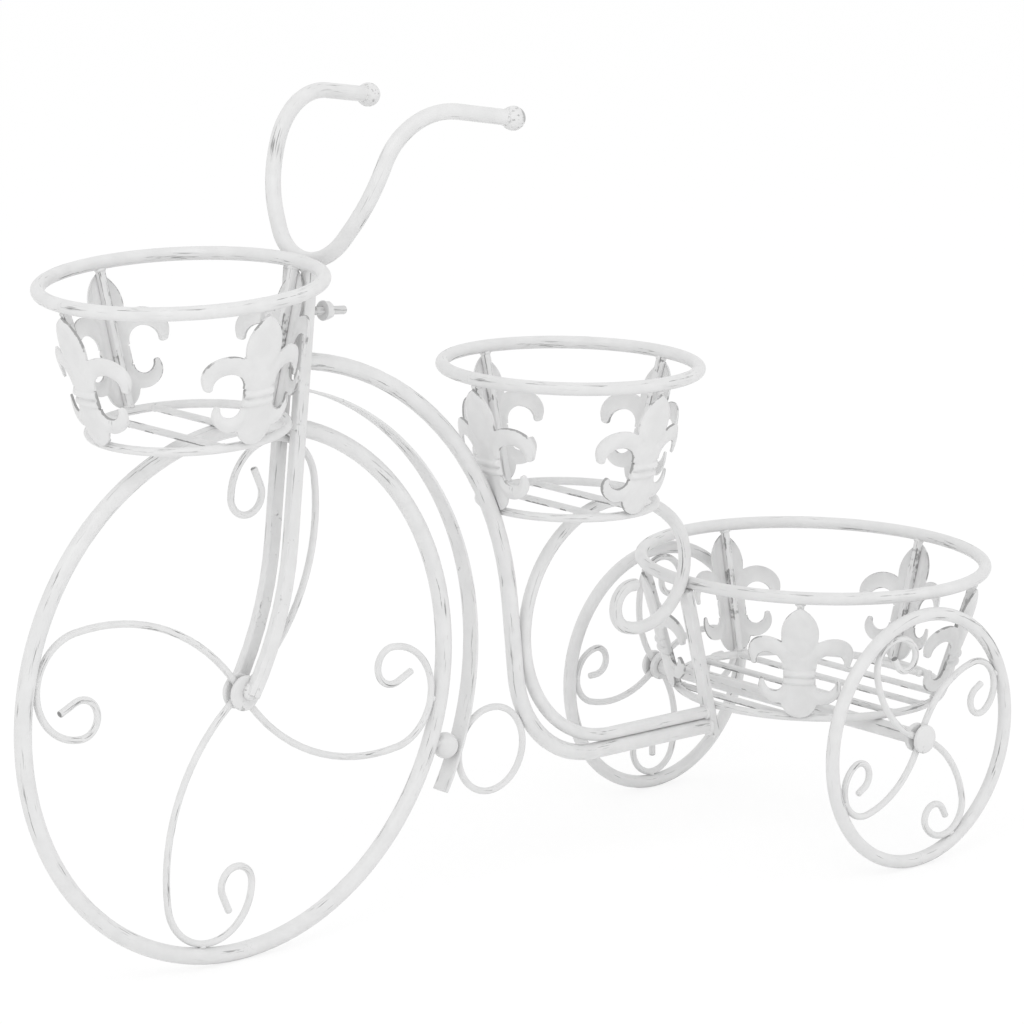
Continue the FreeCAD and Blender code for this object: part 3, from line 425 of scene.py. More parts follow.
def shift(x: float, y: float, z: float) -> np.ndarray:
    """Return a matrix that moves by an offset."""
    return np.array(Matrix.Translation((x, y, z)))


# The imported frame, in millimetres


@dataclass(frozen=True)
class Extent:
    """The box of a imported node."""

    low: np.ndarray
    high: np.ndarray

    @staticmethod
    def of(node: str) -> "Extent":
        """Measure a node."""
        low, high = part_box(node)
        return Extent(np.array(low) / MM, np.array(high) / MM)

    @property
    def middle(self) -> np.ndarray:
        """The box's middle."""
        return (self.low + self.high) / 2

    @property
    def size(self) -> np.ndarray:
        """The box's sides."""
        return self.high - self.low


# Finishes


class Tree:
    """A shader tree that is being wired."""

    def __init__(self, nodes: bpy.types.Nodes, links: bpy.types.NodeLinks) -> None:
        """Keep the tree's nodes and links."""
        self.nodes, self.links = nodes, links

    @staticmethod
    def within(owner: bpy.types.Material | bpy.types.World) -> "Tree":
        """Open an empty tree.

        Args:
            owner: the material or world to wire.

        Returns:
            Its tree.
        """
        owner.use_nodes = True
        owner.node_tree.nodes.clear()
        return Tree(owner.node_tree.nodes, owner.node_tree.links)

    def add(self, kind: str, values: dict[str | int, object] | None = None,
            **settings: object) -> bpy.types.Node:
        """Add a node.

        Args:
            kind: the node's type, without its prefix.
            values: input names to plain values or output sockets.
            settings: properties of the node itself.

        Returns:
            The node.
        """
        node = self.nodes.new("ShaderNode" + kind)
        for name, setting in settings.items():
            setattr(node, name, setting)
        for name, value in (values or {}).items():
            if isinstance(value, bpy.types.NodeSocket):
                self.links.new(value, node.inputs[name])
            else:
                node.inputs[name].default_value = value
        return node

    def maths(self, operation: str, first: object, second: object = 0.0) -> bpy.types.NodeSocket:
        """Return the result of a sum on two numbers or sockets."""
        return self.add("Math", {0: first, 1: second}, operation=operation).outputs[0]

    def noise(self, vector: bpy.types.NodeSocket, scale: float, detail: float = 3.0,
              roughness: float = 0.55) -> bpy.types.NodeSocket:
        """Return a noise value that varies over the surface."""
        values = {"Vector": vector, "Scale": scale, "Detail": detail, "Roughness": roughness}
        return self.add("TexNoise", values).outputs[0]

    def ramp(self, value: object, low: object, high: object) -> bpy.types.NodeSocket:
        """Return a value eased from 0 at low to 1 at high."""
        values = {"Value": value, "From Min": low, "From Max": high}
        return self.add("MapRange", values, interpolation_type="SMOOTHSTEP").outputs[0]


@dataclass
class PaintGroups:
    """Effects that every painted finish shares, each a node group built once.

    A fade is the pair of values between which an effect comes in. Scales are waves in a metre.
    """

    patch_stretch: tuple[float, float, float] = (0.45, 0.22, 0.22)
    bare_level: float = 0.68
    cover_gain: float = 0.34
    patch_fade: float = 0.14
    streak_fade: tuple[float, float] = (0.56, 0.62)
    grain_scale: float = 300.0
    stretch_scale: float = 38.0
    stretch_fade: tuple[float, float] = (0.44, 0.6)
    rub_fade: tuple[float, float] = (0.8, 1.1)
    peel_scale: float = 420.0
    peel_share: float = 0.35
    runs_scale: float = 70.0
    tone_fade: tuple[float, float] = (0.3, 0.7)

    def __post_init__(self) -> None:
        """Build the groups."""
        self.marks = self._brush_marks()
        self.rub = self._rub_and_painted_shade()
        self.skin = self._paint_skin()

    @staticmethod
    def _open(name: str, inputs: dict[str, str], outputs: tuple[str, ...]
              ) -> tuple[bpy.types.NodeTree, Tree, bpy.types.Node, bpy.types.Node]:
        """Start a group.

        Args:
            name: the group's name.
            inputs: socket names to their kinds.
            outputs: names of the number sockets that it puts out.

        Returns:
            The group, its tree, its input node and its output node.
        """
        group = bpy.data.node_groups.new(name, "ShaderNodeTree")
        for socket, kind in inputs.items():
            group.interface.new_socket(socket, in_out="INPUT", socket_type=kind)
        for socket in outputs:
            group.interface.new_socket(socket, in_out="OUTPUT", socket_type="NodeSocketFloat")
        tree = Tree(group.nodes, group.links)
        return group, tree, group.nodes.new("NodeGroupInput"), group.nodes.new("NodeGroupOutput")

    def _brush_marks(self) -> bpy.types.NodeTree:
        """Wire the grey marks of a dry brush: fine streaks drawn out along the piece, inside loose patches.

        Returns:
            The group.
        """
        group, tree, given, put = self._open(
            "brush_marks", {"Lay": "NodeSocketVector", "Stroke": "NodeSocketFloat",
                            "Bristle": "NodeSocketFloat", "Cover": "NodeSocketFloat"}, ("Mask", "Streak"))
        parts = tree.add("SeparateXYZ", {0: given.outputs["Lay"]})
        along = tree.maths("DIVIDE", parts.outputs[0], given.outputs["Stroke"])
        across = [tree.maths("DIVIDE", parts.outputs[axis], given.outputs["Bristle"]) for axis in (1, 2)]
        drawn = tree.add("CombineXYZ", {0: along, 1: across[0], 2: across[1]}).outputs[0]
        streak = tree.noise(drawn, 1.0, 4.0, 0.6)
        broad = tree.add("VectorMath", {0: drawn, 1: self.patch_stretch}, operation="MULTIPLY").outputs[0]
        patch = tree.noise(broad, 1.0, 2.0)
        cover = tree.maths("MULTIPLY", given.outputs["Cover"], self.cover_gain)
        level = tree.maths("SUBTRACT", self.bare_level, cover)
        patches = tree.ramp(patch, level, tree.maths("ADD", level, self.patch_fade))
        lines = tree.ramp(streak, *self.streak_fade)
        tree.links.new(tree.maths("MULTIPLY", lines, patches), put.inputs["Mask"])
        tree.links.new(streak, put.inputs["Streak"])
        return group

    def _rub_and_painted_shade(self) -> bpy.types.NodeTree:
        """Wire the rubbed edges, and the painted shade that the edge value carries under the floor rods: the
        edge value, kept to some stretches and broken up by noise.

        Returns:
            The group.
        """
        group, tree, given, put = self._open(
            "rubbed_edges_and_painted_shade", {"Place": "NodeSocketVector", "Edge": "NodeSocketFloat",
                             "Amount": "NodeSocketFloat"}, ("Mask",))
        grain = tree.noise(given.outputs["Place"], self.grain_scale, 3.0)
        stretch = tree.ramp(tree.noise(given.outputs["Place"], self.stretch_scale, 2.0), *self.stretch_fade)
        rub = tree.maths("MULTIPLY", given.outputs["Edge"], given.outputs["Amount"])
        reach = tree.maths("MULTIPLY", rub, stretch)
        tree.links.new(tree.ramp(tree.maths("ADD", grain, reach), *self.rub_fade), put.inputs["Mask"])
        return group

    def _paint_skin(self) -> bpy.types.NodeTree:
        """Wire the paint's own surface: orange peel for height, and a slow change of tone over the coat.

        Returns:
            The group.
        """
        group, tree, given, put = self._open("paint_skin", {"Place": "NodeSocketVector"}, ("Height", "Tone"))
        peel = tree.noise(given.outputs["Place"], self.peel_scale, 2.0)
        runs = tree.noise(given.outputs["Place"], self.runs_scale, 3.0)
        height = tree.maths("ADD", tree.maths("MULTIPLY", peel, self.peel_share),
                            tree.maths("MULTIPLY", runs, 1 - self.peel_share))
        tree.links.new(height, put.inputs["Height"])
        tree.links.new(tree.ramp(runs, *self.tone_fade), put.inputs["Tone"])
        return group


@dataclass(frozen=True)
class PaintFinish:
    """White paint, rubbed back to grey by a dry brush and on the edges; the same grey is painted shade along
    the floor rods' undersides.

    stroke and bristle are the length and width of a mark in millimetres. cover is the share of paint that
    the brush missed, and depth is how far the grey shows.
    """

    name: str
    stroke: float = 26.0
    bristle: float = 1.25
    cover: float = 0.45
    edge_rub: float = 0.5
    depth: float = 0.8
    relief: float = 0.14
    relief_height: float = 0.0006
    streak_relief: float = 0.6
    fresh: tuple[float, float, float] = (0.69, 0.69, 0.69)
    dulled: tuple[float, float, float] = (0.655, 0.655, 0.655)
    # dark grey of bare metal on rubbed edges and brush marks, and painted shade under the floor rods
    worn_and_shade_grey: tuple[float, float, float] = (0.12, 0.12, 0.12)
    roughness: float = 0.46
    worn_roughness: float = 0.62

    def material(self, groups: PaintGroups) -> bpy.types.Material:
        """Wire the finish.

        Args:
            groups: the shared effects.

        Returns:
            The material.
        """
        material = bpy.data.materials.new(self.name)
        tree = Tree.within(material)
        lay = tree.add("Attribute", attribute_name="lay").outputs["Vector"]
        edge = tree.add("Attribute", attribute_name="edge").outputs["Fac"]
        place = tree.add("TexCoord").outputs["Object"]
        brush = {"Lay": lay, "Stroke": self.stroke, "Bristle": self.bristle, "Cover": self.cover}
        marks = tree.add("Group", brush, node_tree=groups.marks).outputs
        rub = tree.add("Group", {"Place": place, "Edge": edge, "Amount": self.edge_rub}, node_tree=groups.rub)
        skin = tree.add("Group", {"Place": place}, node_tree=groups.skin).outputs
        mask = tree.maths("MAXIMUM", marks["Mask"], rub.outputs["Mask"])
        # share of dark grey: real rub and brush marks, and painted shade where the edge value carries it
        bare_and_shade = tree.maths("MULTIPLY", mask, self.depth)
        coats = {"Fac": skin["Tone"], "Color1": self.dulled + (1.0,), "Color2": self.fresh + (1.0,)}
        coat = tree.add("MixRGB", coats).outputs[0]
        colour = tree.add("MixRGB", {"Fac": bare_and_shade, "Color1": coat, "Color2": self.worn_and_shade_grey + (1.0,)}).outputs[0]
        gloss = {"Value": bare_and_shade, "To Min": self.roughness, "To Max": self.worn_roughness}
        roughness = tree.add("MapRange", gloss).outputs[0]
        streaks = tree.maths("MULTIPLY", marks["Streak"], self.streak_relief)
        relief = tree.maths("ADD", skin["Height"], streaks)
        skin_bump = {"Height": relief, "Strength": self.relief, "Distance": self.relief_height}
        bump = tree.add("Bump", skin_bump).outputs[0]
        shader = tree.add("BsdfPrincipled", {"Base Color": colour, "Roughness": roughness, "Normal": bump})
        tree.links.new(shader.outputs[0], tree.add("OutputMaterial").inputs["Surface"])
        return material


class Finish(Enum):
    """The finishes of the stand."""

    TUBE = PaintFinish("brushed_white_tube")
    ROD = PaintFinish("brushed_white_rod", stroke=20.0, bristle=1.1, cover=0.47, edge_rub=1.1)
    PLATE = PaintFinish("pressed_white_plate", stroke=20.0, bristle=2.6, cover=0.12, edge_rub=0.75,
                        depth=0.62)
    BALL = PaintFinish("rubbed_white_ball", stroke=10.0, bristle=4.0, cover=0.4, edge_rub=0.3, depth=0.4)
    KNOB = PaintFinish("mottled_white_knob", stroke=3.2, bristle=2.2, cover=0.95, edge_rub=0.75, depth=0.5)
    WELD = PaintFinish("rubbed_white_weld", stroke=4.0, bristle=1.5, cover=0.55, edge_rub=0.3, depth=0.5)


# Making pieces


@dataclass
class Piece:
    """A finished piece: its surface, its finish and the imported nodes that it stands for."""

    name: str
    surface: Surface
    finish: Finish
    nodes: tuple[str, ...] = ()
    body: Body = Body.STAND


def painted(node: str, surface: Surface, finish: Finish, body: Body = Body.STAND) -> Piece:
    """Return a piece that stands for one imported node."""
    return Piece(f"painted_{node}", surface, finish, (node,), body)


class Workshop:
    """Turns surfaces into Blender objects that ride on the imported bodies."""

    def __init__(self) -> None:
        """Mix the paints."""
        groups = PaintGroups()
        self.materials = {finish: finish.value.material(groups) for finish in Finish}

    def make(self, piece: Piece) -> bpy.types.Object:
        """Put a piece into the scene.

        Args:
            piece: what to make.

        Returns:
            The new object, at the origin, with its place in its mesh.
        """
        surface = piece.surface
        mesh = bpy.data.meshes.new(piece.name)
        mesh.from_pydata((surface.points * MM).tolist(), [], surface.faces)
        lay = mesh.attributes.new("lay", "FLOAT_VECTOR", "POINT")
        lay.data.foreach_set("vector", surface.lay.astype(np.float32).ravel())
        edge = mesh.attributes.new("edge", "FLOAT", "POINT")
        edge.data.foreach_set("value", surface.edge.astype(np.float32))
        mesh.materials.append(self.materials[piece.finish])
        mesh.shade_smooth()
        mesh.set_sharp_from_angle(angle=SHARP_ANGLE)
        made = bpy.data.objects.new(piece.name, mesh)
        bpy.context.scene.collection.objects.link(made)
        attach(made, piece.body.value)
        if piece.nodes:
            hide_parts(*piece.nodes)
        LOG.info("%s: %d faces on %s", piece.name, len(surface.faces), piece.body.value)
        return made


# Welds


@dataclass
class WeldLog:
    """Places where the weld stands up as a small lump."""

    body: Body
    name: str
    lumps: list[Surface] = field(default_factory=list)
    sides: int = 12
    rub: float = 0.55
    ripple: float = 0.1
    ripple_turns: tuple[float, float, float] = (3.23, 3.91, 2.38)
    ripple_step: float = 2.1

    def lump(self, centre: np.ndarray, radius: float, axis: np.ndarray = Z_AXIS, flat: float = 0.8) -> None:
        """Note one lump: a flattened ball, rippled by a wave that differs from lump to lump.

        Args:
            centre: its middle.
            radius: its size across.
            axis: the way along which it is flattened.
            flat: its height as a share of its radius.
        """
        profile = ball_profile(radius)[::2] * np.array((flat, 1.0))
        surface = turned(profile, np.zeros(3), axis, self.sides, self.rub)
        start = (len(self.lumps) + 1) * self.ripple_step
        wave = np.sin(surface.points @ np.array(self.ripple_turns) / radius + start)
        surface.points = centre + surface.points * (1 + self.ripple * wave)[:, None]
        self.lumps.append(surface)

    def piece(self) -> Piece:
        """Return all the lumps as one piece."""
        return Piece(self.name, joined(self.lumps), Finish.WELD, (), self.body)


# Sub-assemblies


class SubAssembly(Protocol):
    """What every sub-assembly offers."""

    def pieces(self) -> list[Piece]:
        """Return its pieces."""


@dataclass(frozen=True)
class Scroll:
    """A scrolled spoke: a wide arm, a curl that lies on the rim, a hook and a straight end."""

    root: float
    curl_radius: float
    curl_angle: float
    curl_sweep: float
    hook_radius: float
    hook_sweep: float
    tail: float
    side: int
    rod: float = 5.0

    def path(self, rim_inside: float) -> np.ndarray:
        """Return the spoke's middle line in the wheel's plane, leaving the hub along X.

        The arm's radius is the one that starts along X and runs into the curl without a kink.

        Args:
            rim_inside: the rim's inner radius.

        Returns:
            Points in the plane.
        """
        reach = rim_inside - self.rod / 2 - WELD_GAP - self.curl_radius
        along = reach * math.cos(math.radians(self.curl_angle)) - self.root
        aside = reach * math.sin(math.radians(self.curl_angle))
        arm = (along ** 2 + aside ** 2 - self.curl_radius ** 2) / (2 * (aside - self.curl_radius))
        arm_sweep = math.degrees(math.atan2(aside - arm, along)) + 90
        return bent_path((self.root, 0.0), 0.0, [
            Bend(arm, arm_sweep, self.side), Bend(self.curl_radius, self.curl_sweep, self.side),
            Bend(self.hook_radius, self.hook_sweep, self.side), Straight(self.tail)])


@dataclass
class Wheel:
    """A rim with scrolled spokes between two hub discs."""

    name: str
    scroll: Scroll
    first_turn: float
    welds: WeldLog
    body: Body
    spokes: int = 4
    spoke_round: float = 1.1
    weld_share: float = 0.62
    weld_sink: float = 0.8
    weld_flat: float = 0.6
    disc_round: float = 1.6
    disc_round_share: float = 0.45
    disc_rub: float = 0.25

    def __post_init__(self) -> None:
        """Read the rim's place and size from the frame."""
        box = Extent.of(f"{self.name}_rim")
        self.centre = box.middle
        self.tube = box.size[1]
        self.radius = box.size[2] / 2 - self.tube / 2

    def pieces(self) -> list[Piece]:
        """Return the rim, the spokes and the hub discs."""
        return [self._rim(), self._spokes(), self._hub()]

    def _rim(self) -> Piece:
        """Make the rim, a closed ring of tube."""
        ring = tube_ring(self.centre, Y_AXIS, self.radius, self.tube)
        return painted(f"{self.name}_rim", ring, Finish.TUBE, self.body)

    def _spokes(self) -> Piece:
        """Make the spokes, each turned on from the last, and note their welds on the rim.

        Returns:
            The spokes as one piece.
        """
        line = upright(self.scroll.path(self.radius - self.tube / 2))
        rod = sweep(line, Y_AXIS, round_section(self.scroll.rod, ROD_SIDES), end_round=self.spoke_round)
        touch = line[np.argmax(np.linalg.norm(line, axis=1))]
        rods = []
        for number in range(self.spokes):
            pose = shift(*self.centre) @ turn_about("Y", -self.first_turn - 360 / self.spokes * number)
            rods.append(rod.moved(pose))
            outward = unit(pose[:3, :3] @ touch)
            seat = pose[:3, :3] @ touch + self.centre + outward * (self.scroll.rod / 2 - self.weld_sink)
            self.welds.lump(seat, self.scroll.rod * self.weld_share, outward, self.weld_flat)
        return painted(f"{self.name}_spokes", joined(rods), Finish.ROD, self.body)

    def _hub(self) -> Piece:
        """Make the two hub discs, one on each side of the spokes, with rounded rims.

        Returns:
            The discs as one piece.
        """
        node = f"{self.name}_hub_discs"
        box = Extent.of(node)
        inner, outer = self.scroll.rod / 2 + WELD_GAP, box.size[1] / 2
        corner = min(self.disc_round, (outer - inner) * self.disc_round_share)
        profile = disc_profile(inner, outer, box.size[0] / 2, corner)
        discs = [turned(profile, self.centre, side * Y_AXIS, wear=self.disc_rub) for side in (-1, 1)]
        return painted(node, joined(discs), Finish.BALL, self.body)


@dataclass
class RearAxle:
    """The rod that joins the rear wheels and the tube that it turns in."""

    end_round: float = 0.6

    def pieces(self) -> list[Piece]:
        """Draw the rod and the tube straight from their boxes.

        Returns:
            The rod and the tube.
        """
        made = []
        for node, finish, body in (("axle_rod", Finish.ROD, Body.WHEELSET),
                                   ("axle_tube", Finish.TUBE, Body.STAND)):
            box = Extent.of(node)
            half = Y_AXIS * box.size[1] / 2
            line = np.linspace(box.middle - half, box.middle + half, max(2, int(box.size[1] / PATH_STEP)))
            bar = sweep(line, Z_AXIS, round_section(box.size[0], TUBE_SIDES), end_round=self.end_round)
            made.append(painted(node, bar, finish, body))
        return made


@dataclass
class Handlebar:
    """One tube bent at five corners, with a ball and a bead of weld on each end.

    flare, crown and grip are offsets behind, beside and over the lower corner.
    """

    tube: float = 11.0
    ball: float = 17.0
    base_bend: float = 41.0
    flare: tuple[float, float, float] = (18.5, 52.6, 75.6)
    flare_bend: float = 100.0
    crown: tuple[float, float, float] = (41.9, 61.9, 140.4)
    crown_bend: float = 50.7
    grip: tuple[float, float, float] = (126.2, 75.2, 127.3)
    tube_sink: float = 0.4
    ball_rub: float = 0.35
    ball_rub_gain: float = 1.5
    bead: float = 0.9
    bead_length: float = 0.87
    bead_sink: float = 0.3
    bead_back: float = 0.2
    bead_sides: int = 28
    bead_rub: float = 0.4

    def __post_init__(self) -> None:
        """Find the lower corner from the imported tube's lowest point."""
        box = Extent.of("handlebar")
        back, side, rise = self.flare
        slope = math.hypot(back, rise)
        cut = self.base_bend * (math.hypot(side, slope) / side - 1)
        self.lowest_z = box.low[2]
        self.base = np.array((box.low[0] + self.tube / 2 - cut * back / slope, 0.0,
                              box.low[2] + self.tube / 2 - cut * rise / slope))

    def corner(self, offset: tuple[float, float, float], side: int) -> np.ndarray:
        """Return a corner from its offset behind, beside and over the lower one."""
        return self.base + np.array((offset[0], side * offset[1], offset[2]))

    def pieces(self) -> list[Piece]:
        """Bend the tube through its corners and set a ball on each end.

        Returns:
            The tube and the balls.
        """
        seat = math.sqrt(self.ball ** 2 - self.tube ** 2) / 2
        arc = np.linspace(-1.5, 1.5, 7)
        bead_radius = self.tube / 2 - self.bead_sink + self.bead * np.cos(arc)
        bead = np.stack([arc * self.bead_length, bead_radius], axis=1)
        ends, balls = [], []
        for side in (-1, 1):
            grip = self.corner(self.grip, side)
            outward = unit(grip - self.corner(self.crown, side))
            ends.append(grip - outward * (seat - self.tube_sink))
            ball = turned(ball_profile(self.ball / 2), grip, outward)
            ball.edge = np.clip(self.ball_rub + ball.lay[:, 0] / self.ball * self.ball_rub_gain, 0.0, 1.0)
            neck = grip - outward * (seat + self.bead_back)
            balls += [ball, turned(bead, neck, outward, self.bead_sides, self.bead_rub)]
        near, far = ([self.corner(offset, side) for offset in (self.crown, self.flare)] for side in (-1, 1))
        corners = np.array([ends[0], *near, self.base, *reversed(far), ends[1]])
        bends = [self.crown_bend, self.flare_bend, self.base_bend, self.flare_bend, self.crown_bend]
        reference = unit(np.array((1.0, 0.0, -1.0)))
        tube = sweep(rounded_path(corners, bends), reference, round_section(self.tube, TUBE_SIDES + 4))
        return [painted("handlebar", tube, Finish.TUBE), painted("grip_balls", joined(balls), Finish.KNOB)]


@dataclass
class Fork:
    """Two flat bars, straight in the head and bent forward to the hub, with the mudguard behind them.

    foot_drop is how far the bars end under the wheel's middle, and set_back is how far their top stands
    behind the handlebar's lower corner. The place of a bar's weld is how far it lies behind the bar's end,
    its side as a share of the bar's own, and how far it lies above.
    """

    wheel: Wheel
    handlebar: Handlebar
    welds: WeldLog
    width: float = 7.0
    depth: float = 10.0
    bar_corner: float = 1.2
    bar_end: float = 0.8
    lean: float = 4.3
    bend_radius: float = 234.0
    bend_sweep: float = 26.7
    foot_drop: float = 1.4
    set_back: float = 2.8
    guard_sheet: float = 2.0
    guard_tail: float = 29.0
    guard_round: float = 0.7
    guard_rub: float = 0.4
    guard_rub_width: float = 1.0
    guard_steps: int = 70
    head_weld: float = 6.2
    head_weld_place: tuple[float, float, float] = (0.0, 0.8, 1.0)
    hub_weld: float = 6.4
    hub_weld_place: tuple[float, float, float] = (1.0, 0.75, 3.0)
    guard_weld: float = 4.6
    guard_weld_side: float = 6.5
    ball_weld: float = 3.6
    ball_weld_sink: float = 0.4
    ball_rub: float = 0.3
    ring_weld: float = 3.4

    def __post_init__(self) -> None:
        """Find the top of the bars under the handlebar, and how far they run before they bend."""
        self.top = np.array((self.handlebar.base[0] + self.set_back, self.handlebar.lowest_z - WELD_GAP))
        foot, head = math.radians(self.lean + self.bend_sweep), math.radians(self.lean)
        drop = self.top[1] - self.wheel.centre[2] + self.foot_drop
        bent_drop = self.bend_radius * (math.sin(foot) - math.sin(head))
        self.straight = (drop - bent_drop) / math.cos(head)

    def heart(self, z: float) -> np.ndarray:
        """Return the point between the bars at a height."""
        return np.array((self.top[0] - (self.top[1] - z) * math.tan(math.radians(self.lean)), 0.0, z))

    def pieces(self) -> list[Piece]:
        """Return the bars, the mudguard, its ball and its ring."""
        bars = [self._bar(side) for side in ("near", "far")]
        return bars + [self._guard(), self._ball(), self._ring()]

    def _bar(self, side: str) -> Piece:
        """Make one bar and note its welds at the handlebar and the hub.

        Args:
            side: near or far.

        Returns:
            The bar.
        """
        node = f"fork_bar_{side}"
        y = Extent.of(node).middle[1]
        runs = [Straight(self.straight), Bend(self.bend_radius, self.bend_sweep, -1)]
        line = upright(bent_path(self.top, -90 - self.lean, runs), y)
        section = bar_section(self.depth, self.width, self.bar_corner)
        rub = corner_wear(section, self.depth, self.width)
        bar = sweep(line, Y_AXIS, section, end_round=self.bar_end, wear=rub)
        for end, (back, share, up), size, axis, flat in (
                (line[0], self.head_weld_place, self.head_weld, Z_AXIS, 0.5),
                (line[-1], self.hub_weld_place, self.hub_weld, Y_AXIS, 0.7)):
            self.welds.lump(np.array((end[0] + back, y * share, end[2] + up)), size, axis, flat)
        return painted(node, bar, Finish.TUBE)

    def _guard(self) -> Piece:
        """Make the mudguard, a strip bent round the front axle from the bars' back face to its tail.

        Returns:
            The strip.
        """
        box = Extent.of("mudguard")
        lean = math.radians(self.lean)
        inside = box.high[0] - self.wheel.centre[0] - self.guard_sheet
        offset = (self.top[0] - self.wheel.centre[0]) * math.cos(lean)
        offset -= (self.top[1] - self.wheel.centre[2]) * math.sin(lean)
        head = 90 - self.lean - math.degrees(math.asin((offset + self.depth / 2 + WELD_GAP) / inside))
        angle = np.radians(np.linspace(head, -self.guard_tail, self.guard_steps))
        arc = np.stack([np.cos(angle), np.sin(angle)], axis=1)
        line = self.wheel.centre + (inside + self.guard_sheet / 2) * upright(arc)
        section = bar_section(self.guard_sheet, box.size[1], self.guard_round)
        rub = (np.abs(section[:, 1]) > box.size[1] / 2 - self.guard_rub_width) * self.guard_rub
        strip = sweep(line, Y_AXIS, section, end_round=self.guard_round, wear=rub)
        for side in (-1, 1):
            seat = line[0] + Y_AXIS * side * self.guard_weld_side
            self.welds.lump(seat, self.guard_weld, X_AXIS, flat=0.7)
        return painted("mudguard", strip, Finish.TUBE)

    def _ball(self) -> Piece:
        """Make the ball that spaces the mudguard from the rim, and note its two welds.

        Returns:
            The ball.
        """
        box = Extent.of("spacer_ball")
        outward = unit(box.middle - self.wheel.centre)
        for side in (-1, 1):
            seat = box.middle + outward * side * (box.size[0] / 2 - self.ball_weld_sink)
            self.welds.lump(seat, self.ball_weld, outward, flat=0.5)
        ball = turned(ball_profile(box.size[1] / 2), box.middle, outward, wear=self.ball_rub)
        return painted("spacer_ball", ball, Finish.BALL)

    def _ring(self) -> Piece:
        """Make the ring that ties the mudguard to the frame tube, and note its weld.

        Returns:
            The ring.
        """
        box = Extent.of("mudguard_ring")
        rod = box.size[1]
        radius = box.size[0] / 2 - rod / 2
        outward = unit(self.wheel.centre - box.middle)
        self.welds.lump(box.middle + outward * (radius + rod / 2), self.ring_weld, outward, flat=0.6)
        ring = tube_ring(box.middle, Y_AXIS, radius, rod, ROD_SIDES)
        return painted("mudguard_ring", ring, Finish.ROD)


@dataclass(frozen=True)
class ArchRoom:
    """The room that the arch of the frame tube takes where it passes a basket."""

    centre: np.ndarray
    radius: float
    reach: float

    def cleared(self, surface: Surface) -> Surface:
        """Push a surface's points out of the room, straight away from the tube's middle line.

        Args:
            surface: what passes the arch.

        Returns:
            The surface, clear of the arch.
        """
        offset = surface.points - self.centre
        outward = unit(offset * np.array((1.0, 0.0, 1.0)))
        away = offset - outward * self.radius
        distance = np.linalg.norm(away, axis=1, keepdims=True)
        push = np.maximum(self.reach - distance, 0.0) / np.maximum(distance, 1e-6)
        return Surface(surface.points + away * push, surface.faces, surface.lay, surface.edge)


